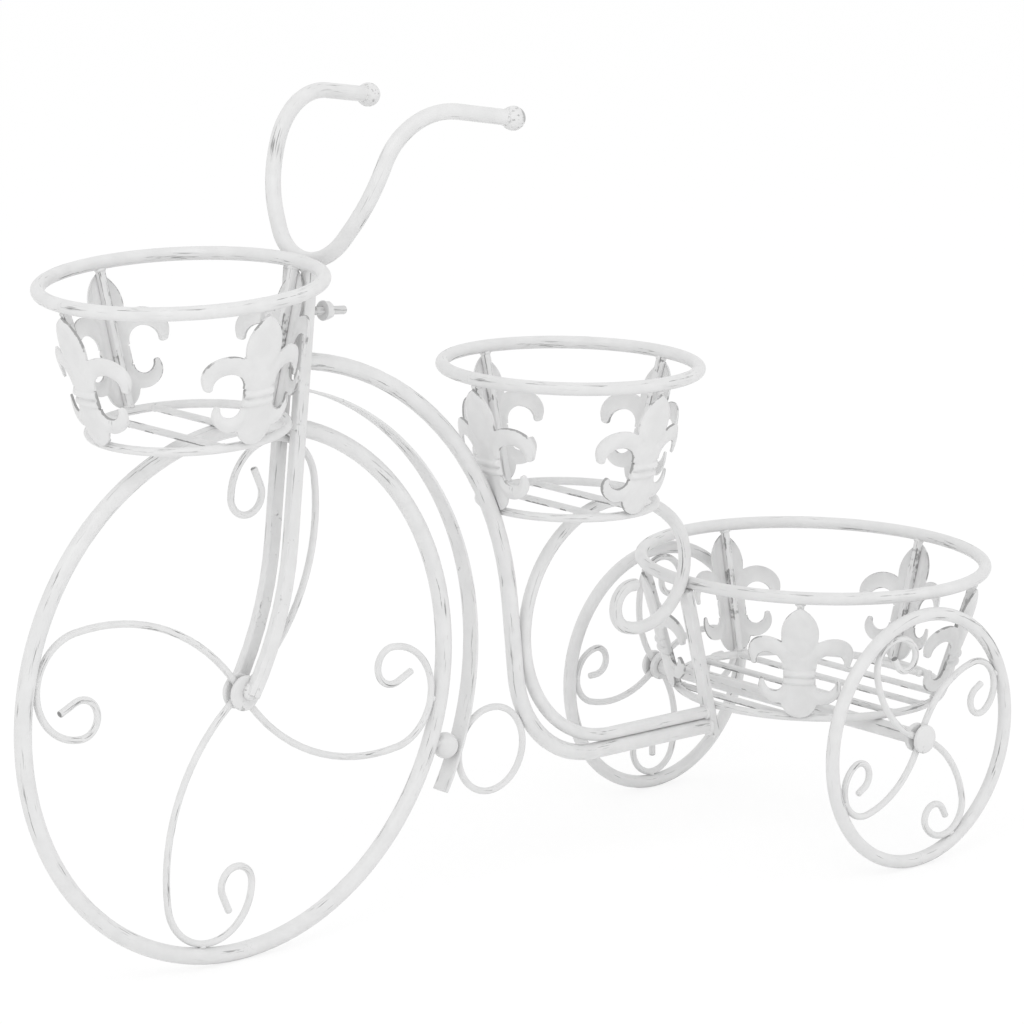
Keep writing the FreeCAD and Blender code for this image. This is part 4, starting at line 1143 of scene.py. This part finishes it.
@dataclass
class FrameTubes:
    """The long frame tube, the seat loop on it and the hitch bar that ends them."""

    wheel: Wheel
    fork: Fork
    welds: WeldLog
    bend_offset: float = 123.5
    bend_radius: float = 80.8
    bend_sweep: float = 82.4
    arch_offset: float = 15.1
    arch_hairline: float = 0.3
    head_gap: float = 7.3
    loop_radius: float = 88.0
    loop_sweep: float = 220.0
    inner_radius: float = 45.0
    inner_sweep: float = 158.0
    hook_radius: float = 16.0
    hook_sweep: float = 178.0
    hitch_depth: float = 7.0
    hitch_corner: float = 1.0
    hitch_share: float = 0.99
    tube_end: float = 0.8
    loop_end: float = 1.4
    hitch_end: float = 0.7
    weld_share: float = 0.62
    weld_front: float = 0.6

    def __post_init__(self) -> None:
        """Work out where the bends of the frame tube lie.

        The straight rise is as long as lets the arch, which starts along it, end between the fork bars.
        """
        main, loop = Extent.of("main_tube"), Extent.of("seat_loop")
        self.hitch = Extent.of("hitch_bar")
        self.tube, self.loop_tube = main.size[1], loop.size[1]
        self.run_z = main.low[2] + self.tube / 2
        guard = Extent.of("mudguard").high[0] - self.wheel.centre[0]
        self.bend = np.array((self.wheel.centre[0] + guard + self.bend_offset, self.run_z + self.bend_radius))
        self.arch_radius = guard + self.arch_offset
        sine, cosine = math.sin(math.radians(self.bend_sweep)), math.cos(math.radians(self.bend_sweep))
        rise_start = self.bend - self.bend_radius * np.array((sine, cosine))
        head = self.fork.heart(self.wheel.centre[2] + guard + self.tube / 2 + self.head_gap)[[0, 2]]
        inward = self.arch_radius * np.array((sine, cosine))
        chord = head - rise_start + inward
        along = chord[1] * sine - chord[0] * cosine
        self.rise = along - math.sqrt(along ** 2 - chord @ chord + self.arch_radius ** 2)
        self.arch = rise_start + self.rise * np.array((-cosine, sine)) - inward
        end = head - self.arch
        self.arch_sweep = math.degrees(math.atan2(end[1], end[0])) - 90 + self.bend_sweep
        spacing = self.tube / 2 + self.loop_tube / 2 + WELD_GAP
        self.loop_run_z = self.run_z + spacing
        loop_z = self.loop_run_z + self.loop_radius
        beside = spacing + self.loop_radius - (loop_z - rise_start[1]) * cosine
        self.loop_centre = np.array((rise_start[0] + beside / sine, loop_z))

    def arch_room(self) -> ArchRoom:
        """Return the room that the arch takes, with a hairline round it."""
        centre = np.array((self.arch[0], 0.0, self.arch[1]))
        return ArchRoom(centre, self.arch_radius, self.tube / 2 + self.arch_hairline)

    def face(self, z: float) -> float:
        """Find the hitch bar's front face, which leans forward as it rises.

        Args:
            z: a height.

        Returns:
            Where the face stands at that height.
        """
        low_x = self.hitch.high[0] - self.hitch_depth
        share = (z - self.hitch.low[2]) / self.hitch.size[2]
        return low_x - share * (self.hitch.size[0] - self.hitch_depth)

    def pieces(self) -> list[Piece]:
        """Bend the frame tube and the loop from the hitch bar on, and note their welds to it.

        Returns:
            The frame tube, the loop and the hitch bar.
        """
        start, loop_start = self.face(self.run_z), self.face(self.loop_run_z)
        main = bent_path((start, self.run_z), 180, [
            Straight(start - self.bend[0]), Bend(self.bend_radius, self.bend_sweep, -1), Straight(self.rise),
            Bend(self.arch_radius, self.arch_sweep, 1)])
        loop = bent_path((loop_start, self.loop_run_z), 180, [
            Straight(loop_start - self.loop_centre[0]), Bend(self.loop_radius, self.loop_sweep, -1),
            Bend(self.inner_radius, self.inner_sweep, -1), Bend(self.hook_radius, self.hook_sweep, -1)])
        for z, tube in ((self.run_z, self.tube), (self.loop_run_z, self.loop_tube)):
            seat = np.array((self.face(z) - self.weld_front, 0.0, z))
            self.welds.lump(seat, tube * self.weld_share, X_AXIS, flat=0.45)
        tube, wire = (sweep(upright(line), Y_AXIS, round_section(size, TUBE_SIDES), end_round=end)
                      for line, size, end in ((main, self.tube, self.tube_end),
                                              (loop, self.loop_tube, self.loop_end)))
        return [painted("main_tube", tube, Finish.TUBE), painted("seat_loop", wire, Finish.TUBE),
                self._hitch()]

    def _hitch(self) -> Piece:
        """Make the hitch bar, a leaning flat bar with broken edges.

        Returns:
            The bar.
        """
        width, height = self.hitch.size[1:]
        lean = math.atan2(self.hitch.size[0] - self.hitch_depth, height)
        half = np.array((-math.tan(lean), 0.0, 1.0)) * height / 2 * self.hitch_share
        line = np.linspace(self.hitch.middle - half, self.hitch.middle + half, 14)
        section = bar_section(self.hitch_depth, width, self.hitch_corner)
        rub = corner_wear(section, self.hitch_depth, width)
        bar = sweep(line, Y_AXIS, section, end_round=self.hitch_end, wear=rub)
        return painted("hitch_bar", bar, Finish.TUBE)


def box_distance(x: np.ndarray, y: np.ndarray, half_width: float, half_height: float) -> np.ndarray:
    """Return the signed distance to a rectangle about zero, negative inside."""
    out_x, out_y = np.abs(x) - half_width, np.abs(y) - half_height
    return np.hypot(np.maximum(out_x, 0), np.maximum(out_y, 0)) + np.minimum(np.maximum(out_x, out_y), 0)


@dataclass(frozen=True)
class Curl:
    """A curled petal of the plate: an outer circle less an inner one, cut level at its tip, which is round.

    Circles are (distance from the middle, height, radius). keep is 1 where the petal lies above the tip's
    level and -1 where it lies below.
    """

    outer: tuple[float, float, float]
    inner: tuple[float, float, float]
    tip: float
    keep: int

    def distance(self, x: np.ndarray, y: np.ndarray) -> np.ndarray:
        """Return the signed distance to the petal: the largest of its limits, or that of its round tip.

        Args:
            x: distance from the plate's middle.
            y: height.

        Returns:
            The distances, negative inside.
        """
        limits = [np.hypot(x - self.outer[0], y - self.outer[1]) - self.outer[2],
                  self.inner[2] - np.hypot(x - self.inner[0], y - self.inner[1]), self.keep * (self.tip - y)]
        ends = [out + math.sqrt(radius ** 2 - (self.tip - height) ** 2)
                for out, height, radius in (self.outer, self.inner)]
        tip = np.hypot(x - sum(ends) / 2, y - self.tip) - (ends[0] - ends[1]) / 2
        return np.minimum(np.max(limits, axis=0), tip)


@dataclass
class FleurPlate:
    """The pressed fleur-de-lis: a middle petal, two side petals, a banded waist, two hooks and a round tail.

    Its own X runs across, Y up from the petal's tip and Z out of the basket, with the back's middle at zero.
    """

    sheet: float = 1.5
    wrap: float = 65.0
    crown: float = 1.5
    pillow: float = 6.0
    valley: float = 1.1
    fillet: float = 0.7
    grid: float = 0.8
    petal_width: float = 28.0
    petal_length: float = 46.0
    side_petal: Curl = Curl((22.2, -44.6, 16.8), (22.6, -50.5, 10.0), -51.5, 1)
    hook: Curl = Curl((18.3, -70.5, 12.5), (19.6, -65.8, 7.0), -66.0, -1)
    waist: float = 20.5
    waist_top: float = -38.0
    band_width: float = 24.0
    band_radius: float = 2.6
    band_end: float = 1.6
    band_rise: float = 0.95
    band_swell: float = 0.4
    bands: tuple[float, float] = (-55.5, -62.0)
    tail_centre: float = -80.5
    tail_radius: float = 13.3
    hollow_start: float = 3.0
    hollow_run: float = 4.0
    hollow_share: float = 0.85

    def __post_init__(self) -> None:
        """Press the plate once, for every basket."""
        self.pressed = self._press()

    def forms(self, points: np.ndarray) -> np.ndarray:
        """Return the signed distance from each point to each form of the plate, negative inside.

        Args:
            points: places in the plate's plane.

        Returns:
            One column for each form.
        """
        x, y = np.abs(points[..., 0]), points[..., 1]
        arc = (self.petal_length ** 2 + self.petal_width ** 2) / (4 * self.petal_width)
        petal = np.hypot(x + arc - self.petal_width / 2, y + self.petal_length / 2) - arc
        middle, half = (self.waist_top + self.tail_centre) / 2, (self.waist_top - self.tail_centre) / 2
        waist = box_distance(x, y - middle, self.waist / 2, half)
        tail = np.hypot(x, y - self.tail_centre) - self.tail_radius
        middle, half = sum(self.bands) / 2, abs(self.bands[0] - self.bands[1]) / 2 + self.band_radius
        band = box_distance(x, y - middle, self.band_width / 2, half)
        return np.stack([petal, waist, tail, self.side_petal.distance(x, y), self.hook.distance(x, y), band],
                        axis=-1)

    def outline(self, points: np.ndarray) -> np.ndarray:
        """Return the signed distance to the plate: the least of its forms, with inner corners filled."""
        return -self.fillet * np.log(np.exp(-self.forms(points) / self.fillet).sum(axis=-1))

    def _press(self) -> Surface:
        """Press the plate from a grid: cells inside the outline, their outer corners drawn onto it.

        The front is P = (x, y, sqrt((wrap + h)^2 - x^2) - wrap), with h the sheet and its relief, and the
        back is the same with h the hollow behind the relief.

        Returns:
            The closed plate.
        """
        reach = max(self.side_petal.outer[0] + self.side_petal.outer[2], self.tail_radius)
        half = math.ceil(reach / self.grid) + 1
        drop = math.ceil((self.tail_radius - self.tail_centre) / self.grid) + 1
        across, up = np.arange(-half, half + 1) * self.grid, np.arange(-drop, 2) * self.grid
        points = np.stack(np.meshgrid(across, up, indexing="ij"), axis=-1)
        kept = self.outline(points[:-1, :-1] + self.grid / 2) < 0
        around = np.pad(kept, 1)
        corners = np.stack([around[:-1, :-1], around[1:, :-1], around[:-1, 1:], around[1:, 1:]])
        used, rim = corners.any(axis=0), corners.any(axis=0) & ~corners.all(axis=0)
        points[rim] = self._drawn_to_edge(points[rim])
        index = np.cumsum(used.ravel()).reshape(used.shape) - 1
        count = int(used.sum())
        cells = np.stack([index[:-1, :-1], index[1:, :-1], index[1:, 1:], index[:-1, 1:]], axis=-1)
        front = cells[kept]
        sides = (around[1:-1, :-2], around[2:, 1:-1], around[1:-1, 2:], around[:-2, 1:-1])
        borders = np.stack([cells, np.roll(cells, -1, axis=-1)], axis=-1)
        walls = np.concatenate([borders[kept & ~beside, start] for start, beside in enumerate(sides)])
        wall_quads = np.concatenate([walls + count, walls[:, ::-1]], axis=1)
        faces = np.concatenate([front, front[:, ::-1] + count, wall_quads])
        flat = points[used]
        heights = np.concatenate([self.sheet + self._relief(flat), self._hollow(flat)])
        flat = np.concatenate([flat, flat])
        bent = np.sqrt((self.wrap + heights) ** 2 - flat[:, 0] ** 2) - self.wrap
        solid = np.column_stack([flat, bent])
        edge = np.tile(rim[used].astype(float), 2)
        return Surface(solid, [tuple(face) for face in faces.tolist()], solid[:, [1, 0, 2]], edge)

    def _drawn_to_edge(self, points: np.ndarray) -> np.ndarray:
        """Move points onto the outline, each along the slope of the distance to it, in three strides.

        Args:
            points: places in the plate's plane.

        Returns:
            The moved points.
        """
        small = 0.02
        for _ in range(3):
            distance = self.outline(points)
            slope = np.stack([self.outline(points + step) - self.outline(points - step)
                              for step in np.eye(2) * small], axis=-1)
            slope /= np.maximum(np.linalg.norm(slope, axis=-1, keepdims=True), 1e-9)
            points = points - distance[:, None] * slope
        return points

    def _pillow(self, points: np.ndarray) -> np.ndarray:
        """Work out the swell: it climbs from each edge on a parabola, with soft valleys between petals.

        Args:
            points: places in the plate's plane.

        Returns:
            The swell at each of them.
        """
        petals = self.forms(points)[..., :5]
        depth = np.log(np.exp(-petals / self.valley).sum(axis=-1)) * self.valley
        share = np.clip(depth / self.pillow, 0.0, 1.0)
        return self.crown * (1 - (1 - share) ** 2)

    def _relief(self, points: np.ndarray) -> np.ndarray:
        """Work out the front's height over the flat sheet: the swell, or a half-round ridge of the band.

        Args:
            points: places in the plate's plane.

        Returns:
            The height at each of them.
        """
        ends = np.sqrt(np.clip((self.band_width / 2 - np.abs(points[:, 0])) / self.band_end, 0.0, 1.0))
        ridges = [np.sqrt(np.maximum(self.band_radius ** 2 - (points[:, 1] - height) ** 2, 0.0))
                  for height in self.bands]
        swell = self._pillow(points)
        ridge = np.max(ridges, axis=0) * ends * self.band_rise
        return np.maximum(swell, ridge + swell * self.band_swell)

    def _hollow(self, points: np.ndarray) -> np.ndarray:
        """Return the hollow behind the swell, left out where the stake lies against the back."""
        beside = np.clip((np.abs(points[:, 0]) - self.hollow_start) / self.hollow_run, 0.0, 1.0)
        return self._pillow(points) * self.hollow_share * beside


@dataclass
class Basket:
    """Two rings, the stakes between them with a pressed plate on each, and the floor rods."""

    name: str
    plate: FleurPlate
    welds: WeldLog
    stakes: int
    first_turn: float = 0.0
    tip: float = 0.0
    floor_offsets: tuple[float, ...] = (-20.0, 20.0)
    room: ArchRoom | None = None
    stake_width: float = 5.0
    stake_corner: float = 0.9
    stake_sink: float = 0.4
    stake_welds: tuple[float, float] = (3.9, 3.8)
    stake_weld_drop: float = 0.3
    plate_drop: float = 6.5
    plate_marks: float = 61.0
    floor_sink: float = 0.8
    floor_weld: float = 3.5
    floor_weld_out: float = 1.4
    # painted shade: how fast the floor rods grey towards their undersides
    floor_underside_shade: float = 2.2

    def __post_init__(self) -> None:
        """Read the rings' places and sizes from the frame; the level baskets give the rods' thickness."""
        top, bottom = Extent.of(f"{self.name}_top_ring"), Extent.of(f"{self.name}_bottom_ring")
        tilt = turn_about("Y", -self.tip)
        self.tube = Extent.of("seat_top_ring").size[2]
        self.rod = Extent.of("seat_bottom_ring").size[2]
        self.floor_rod = Extent.of("rear_floor_rods").size[2]
        self.ring_radius = top.size[1] / 2 - self.tube / 2
        self.bottom_radius = bottom.size[1] / 2 - self.rod / 2
        self.depth = float((top.middle - bottom.middle) @ tilt[:3, 2])
        self.lean = math.degrees(math.atan2(self.ring_radius - self.bottom_radius, self.depth))
        self.pose = shift(*top.middle) @ tilt

    def stake_pose(self, number: int) -> np.ndarray:
        """Work out a stake's frame: X across, Y up the stake to the upper ring's middle, Z outwards.

        Args:
            number: the stake's place in the round.

        Returns:
            A four-by-four matrix.
        """
        turn = turn_about("Z", self.first_turn + 360 / self.stakes * number)
        swap = np.array(Matrix.Rotation(math.radians(120), 4, (1.0, 1.0, 1.0)))
        return self.pose @ turn @ shift(self.ring_radius, 0, 0) @ turn_about("Y", self.lean) @ swap

    def pieces(self) -> list[Piece]:
        """Return the rings, the stakes, the plates and the floor rods."""
        return self._rings() + [self._stakes(), self._plates(), self._floor()]

    def _rings(self) -> list[Piece]:
        """Make both rings.

        Returns:
            The upper and the lower ring.
        """
        centre, axis = self.pose[:3, 3], self.pose[:3, 2]
        top = tube_ring(centre, axis, self.ring_radius, self.tube)
        bottom = tube_ring(centre - axis * self.depth, axis, self.bottom_radius, self.rod)
        return [painted(f"{self.name}_top_ring", top, Finish.TUBE),
                painted(f"{self.name}_bottom_ring", bottom, Finish.TUBE)]

    def _stakes(self) -> Piece:
        """Make the stakes and note their welds on both rings.

        Returns:
            The stakes as one piece.
        """
        run = self.depth / math.cos(math.radians(self.lean))
        low, high = run - self.rod / 2 + self.stake_sink, self.tube / 2 - self.stake_sink
        line = np.linspace((0.0, -low, 0.0), (0.0, -high, 0.0), 14)
        section = bar_section(self.stake_width, self.rod, self.stake_corner)
        bar = sweep(line, Z_AXIS, section, wear=corner_wear(section, self.stake_width, self.rod))
        bars = []
        for number in range(self.stakes):
            pose = self.stake_pose(number)
            bars.append(bar.moved(pose))
            drops = self.tube / 2 + self.stake_weld_drop, run - self.rod / 2
            for drop, size in zip(drops, self.stake_welds):
                self.welds.lump(pose[:3, 3] - pose[:3, 1] * drop, size, pose[:3, 1], flat=0.55)
        return painted(f"{self.name}_stakes", joined(bars), Finish.ROD)

    def _plates(self) -> Piece:
        """Set a plate on the outer face of each stake, clear of the frame tube.

        Returns:
            The plates as one piece.
        """
        wrap = self.plate.wrap
        sag = wrap - math.sqrt(wrap ** 2 - (self.stake_width / 2) ** 2)
        seat = shift(0, -self.plate_drop, self.rod / 2 + WELD_GAP + sag)
        plates = []
        for number in range(self.stakes):
            plate = self.plate.pressed.moved(self.stake_pose(number) @ seat)
            plates.append(plate.shifted_marks(self.plate_marks * number))
        if self.room:
            plates = [self.room.cleared(plate) for plate in plates]
        return painted(f"{self.name}_fleurs", joined(plates), Finish.PLATE)

    def _floor(self) -> Piece:
        """Make the floor rods, with painted shade along their undersides, and note their welds on the lower
        ring.

        Returns:
            The rods as one piece.
        """
        section = round_section(self.floor_rod, ROD_SIDES)
        # painted shade: the edge value rises towards each rod's underside, greying that side
        under = np.clip(-section[:, 1] / self.floor_rod * self.floor_underside_shade, 0.0, 1.0)
        inside = self.bottom_radius - self.rod / 2
        rods = []
        for offset in self.floor_offsets:
            half = math.sqrt(inside ** 2 - (abs(offset) + self.floor_rod / 2) ** 2)
            reach = half + self.floor_sink
            line = np.linspace((offset, -reach, -self.depth), (offset, reach, -self.depth), 24)
            rods.append(sweep(line, Z_AXIS, section, wear=under).moved(self.pose))
            for side in (-1, 1):
                seat = self.pose @ np.array((offset, side * (half + self.floor_weld_out), -self.depth, 1.0))
                self.welds.lump(seat[:3], self.floor_weld, self.pose[:3, 2], flat=0.8)
        return painted(f"{self.name}_floor_rods", joined(rods), Finish.ROD)


@dataclass
class HeadBolt:
    """The threaded stud of the front basket, with its washer and nut behind the fork bars.

    nut_rows and nut_cone are the heights and radii of the cone that cuts the nut's corners, as shares of half
    its length and half its width.
    """

    fork: Fork
    stud: float = 6.0
    pitch: float = 1.0
    thread: float = 0.42
    thread_rows: int = 8
    stud_sides: int = 24
    thread_rub: tuple[float, float] = (0.2, 0.6)
    stud_end: float = 0.8
    stud_taper: float = 0.55
    washer_round: float = 0.7
    washer_rub: float = 0.5
    nut_flats: float = 11.0
    nut_sides: int = 72
    nut_rows: tuple[float, ...] = (-1.0, -1.0, -0.86, -0.7, 0.0, 0.7, 0.86, 1.0, 1.0)
    nut_cone: tuple[float, ...] = (0.55, 0.97, 1.08, 1.2, 1.2, 1.2, 1.08, 0.97, 0.55)
    nut_rub: tuple[float, float] = (0.15, 1.0)
    nut_rub_run: float = 0.6

    def __post_init__(self) -> None:
        """Find the bolt's line, square to the fork's head."""
        lean = math.radians(self.fork.lean)
        self.axis = np.array((math.cos(lean), 0.0, -math.sin(lean)))

    def pieces(self) -> list[Piece]:
        """Return the stud, the washer and the nut."""
        return [self._stud(), self._washer(), self._nut()]

    def _reach(self, node: str, across: float) -> tuple[np.ndarray, float]:
        """Find a node on the bolt's line.

        Args:
            node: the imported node.
            across: its width.

        Returns:
            Its middle and half its length.
        """
        box = Extent.of(node)
        half = (box.size[0] - across * abs(self.axis[2])) / 2 / self.axis[0]
        return box.middle, half

    def _stud(self) -> Piece:
        """Turn the stud with its thread: the radius dips once a pitch, and the dip climbs as it goes round.

        Returns:
            The stud.
        """
        middle, half = self._reach("head_stud", self.stud)
        height = np.linspace(-half, half, int(2 * half / self.pitch * self.thread_rows))
        share = np.arange(self.stud_sides) / self.stud_sides
        wave = np.abs(((height[:, None] / self.pitch - share) % 1.0) * 2 - 1)
        ends = np.clip((half - np.abs(height)) / self.stud_end, self.stud_taper, 1.0)
        radius = (self.stud / 2 - self.thread * wave) * ends[:, None]
        shank = lathe(height, radius, middle, self.axis, Y_AXIS, np.clip(1 - wave, *self.thread_rub))
        return Piece("threaded_head_stud", shank, Finish.ROD, ("head_stud",))

    def _washer(self) -> Piece:
        """Turn the washer with a rounded rim.

        Returns:
            The washer.
        """
        width = Extent.of("head_washer").size[1]
        middle, half = self._reach("head_washer", width)
        profile = disc_profile(-half, half, width / 2, half * self.washer_round)
        return painted("head_washer", turned(profile, middle, self.axis, wear=self.washer_rub), Finish.BALL)

    def _nut(self) -> Piece:
        """Mill the nut: a hexagon whose corners are cut by a cone at both ends.

        Returns:
            The nut.
        """
        middle, half = self._reach("head_nut", self.nut_flats)
        flat = self.nut_flats / 2
        angle = np.arange(self.nut_sides) * FULL_TURN / self.nut_sides
        hexagon = flat / np.cos((angle + math.pi / 6) % (math.pi / 3) - math.pi / 6)
        radius = np.minimum(hexagon, flat * np.array(self.nut_cone)[:, None])
        rub = np.clip((radius - flat) / self.nut_rub_run, *self.nut_rub)
        nut = lathe(half * np.array(self.nut_rows), radius, middle, self.axis, Y_AXIS, rub)
        return painted("head_nut", nut, Finish.BALL)


# The studio


@dataclass(frozen=True)
class Camera:
    """The photograph's camera, in the frame's own axes."""

    place: tuple[float, float, float] = (-2.2046, -2.3752, 0.9906)
    yaw: float = 42.80
    pitch: float = -12.31
    roll: float = 1.27
    focal_pixels: float = 4637.8
    frame_pixels: float = 1024.0
    sensor: float = 36.0

    def add(self) -> None:
        """Make the camera and look through it."""
        yaw, pitch, roll = (math.radians(angle) for angle in (self.yaw, self.pitch, self.roll))
        ahead = np.array((math.sin(yaw) * math.cos(pitch), math.cos(yaw) * math.cos(pitch), math.sin(pitch)))
        level = np.array((math.cos(yaw), -math.sin(yaw), 0.0))
        over = np.cross(level, ahead)
        right = math.cos(roll) * level + math.sin(roll) * over
        up = math.cos(roll) * over - math.sin(roll) * level
        data = bpy.data.cameras.new("photograph")
        data.sensor_width = self.sensor
        data.lens = self.focal_pixels / self.frame_pixels * self.sensor
        data.clip_start, data.clip_end = 0.05, 200.0
        camera = bpy.data.objects.new("photograph", data)
        turn = np.eye(4)
        turn[:3, :3] = np.stack([right, up, -ahead], axis=1)
        turn[:3, 3] = self.place
        camera.matrix_world = Matrix(turn.tolist())
        bpy.context.scene.collection.objects.link(camera)
        bpy.context.scene.camera = camera


@dataclass(frozen=True)
class SoftBox:
    """A large soft lamp."""

    name: str
    place: tuple[float, float, float]
    target: tuple[float, float, float]
    width: float
    power: float

    def add(self) -> None:
        """Hang the lamp and point it."""
        data = bpy.data.lights.new(self.name, "AREA")
        data.shape, data.size, data.energy = "DISK", self.width, self.power
        lamp = bpy.data.objects.new(self.name, data)
        lamp.location = self.place
        aim = Vector(self.target) - lamp.location
        lamp.rotation_euler = aim.to_track_quat("-Z", "Y").to_euler()
        bpy.context.scene.collection.objects.link(lamp)


@dataclass(frozen=True)
class Studio:
    """A pale floor that runs out to white, soft boxes and a pale sky."""

    floor_half: float = 60.0
    floor_tone: float = 0.98
    sky: float = 1.0
    white_share: float = 0.80
    heart: tuple[float, float, float] = (0.0, 0.0, 0.3)

    def build(self) -> None:
        """Set up the light, the floor and the camera."""
        bpy.context.scene.view_settings.view_transform = "Standard"
        self._sky()
        self._floor()
        SoftBox("key_box", place=(-2.2, -1.6, 3.0), target=self.heart, width=2.2, power=26.0).add()
        SoftBox("fill_box", place=(2.4, -2.6, 1.8), target=self.heart, width=2.4, power=8.0).add()
        Camera().add()

    def _sky(self) -> None:
        """Light the stand evenly, and show plain white to the camera and in reflections."""
        world = bpy.data.worlds.new("pale_sky")
        tree = Tree.within(world)
        rays = tree.add("LightPath").outputs
        seen = tree.maths("MAXIMUM", rays["Is Camera Ray"], rays["Is Transmission Ray"])
        strength = tree.add("MapRange", {"Value": seen, "To Min": self.sky, "To Max": 1.0}).outputs[0]
        light = tree.add("Background", {"Color": (1.0, 1.0, 1.0, 1.0), "Strength": strength})
        tree.links.new(light.outputs[0], tree.add("OutputWorld").inputs["Surface"])
        bpy.context.scene.world = world

    def _floor(self) -> None:
        """Lay the floor: pale paint, seen mixed with plain white, so that shadows stay faint."""
        material = bpy.data.materials.new("pale_floor")
        tree = Tree.within(material)
        paint = tree.add("BsdfDiffuse", {"Color": (self.floor_tone,) * 3 + (1.0,)})
        white = tree.add("Emission", {"Color": (1.0, 1.0, 1.0, 1.0), "Strength": 1.0})
        seen = tree.add("LightPath").outputs["Is Camera Ray"]
        mix = tree.add("MixShader", {0: tree.maths("MULTIPLY", seen, self.white_share)})
        tree.links.new(paint.outputs[0], mix.inputs[1])
        tree.links.new(white.outputs[0], mix.inputs[2])
        tree.links.new(mix.outputs[0], tree.add("OutputMaterial").inputs["Surface"])
        mesh = bpy.data.meshes.new("floor")
        half = self.floor_half
        corners = [(-half, -half, 0), (half, -half, 0), (half, half, 0), (-half, half, 0)]
        mesh.from_pydata(corners, [], [(0, 1, 2, 3)])
        mesh.materials.append(material)
        floor = bpy.data.objects.new("floor", mesh)
        bpy.context.scene.collection.objects.link(floor)


def sub_assemblies(stand_welds: WeldLog, wheel_welds: WeldLog) -> list[SubAssembly]:
    """Lay out every sub-assembly in the order of making.

    Args:
        stand_welds: weld lumps of the stand.
        wheel_welds: weld lumps of the rear wheels.

    Returns:
        The sub-assemblies.
    """
    front_scroll = Scroll(root=4.0, curl_radius=37.0, curl_angle=43.5, curl_sweep=172.0, hook_radius=13.5,
                          hook_sweep=205.0, tail=14.0, side=1)
    rear_scroll = Scroll(root=4.05, curl_radius=21.6, curl_angle=43.8, curl_sweep=157.0, hook_radius=10.5,
                         hook_sweep=185.0, tail=7.5, side=-1)
    front = Wheel("front", front_scroll, 35.7, stand_welds, Body.STAND)
    near = Wheel("near", rear_scroll, -20.4, wheel_welds, Body.WHEELSET)
    far = Wheel("far", rear_scroll, -48.0, wheel_welds, Body.WHEELSET)
    handlebar = Handlebar()
    fork = Fork(front, handlebar, stand_welds)
    tubes = FrameTubes(front, fork, stand_welds)
    plate = FleurPlate()
    floor_middle, floor_spacing = 6.0, 34.5
    wide_floor = tuple(floor_middle + step * floor_spacing / 2 for step in (-5, -3, -1, 1, 3, 5))
    return [front, near, far, RearAxle(), handlebar, fork, tubes, HeadBolt(fork),
            Basket("front", plate, stand_welds, 4, first_turn=-2.5, tip=4.1),
            Basket("seat", plate, stand_welds, 4, room=tubes.arch_room()),
            Basket("rear", plate, stand_welds, 5, first_turn=4.0, floor_offsets=wide_floor)]


def main() -> None:
    """Build every piece, then the studio."""
    logging.basicConfig(level=logging.INFO, format="%(message)s")
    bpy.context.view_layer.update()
    stand_welds = WeldLog(Body.STAND, "stand_welds")
    wheel_welds = WeldLog(Body.WHEELSET, "wheel_welds")
    workshop = Workshop()
    for assembly in sub_assemblies(stand_welds, wheel_welds):
        for piece in assembly.pieces():
            workshop.make(piece)
    for welds in (stand_welds, wheel_welds):
        workshop.make(welds.piece())
    Studio().build()
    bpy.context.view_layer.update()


if __name__ == "__main__":
    main()
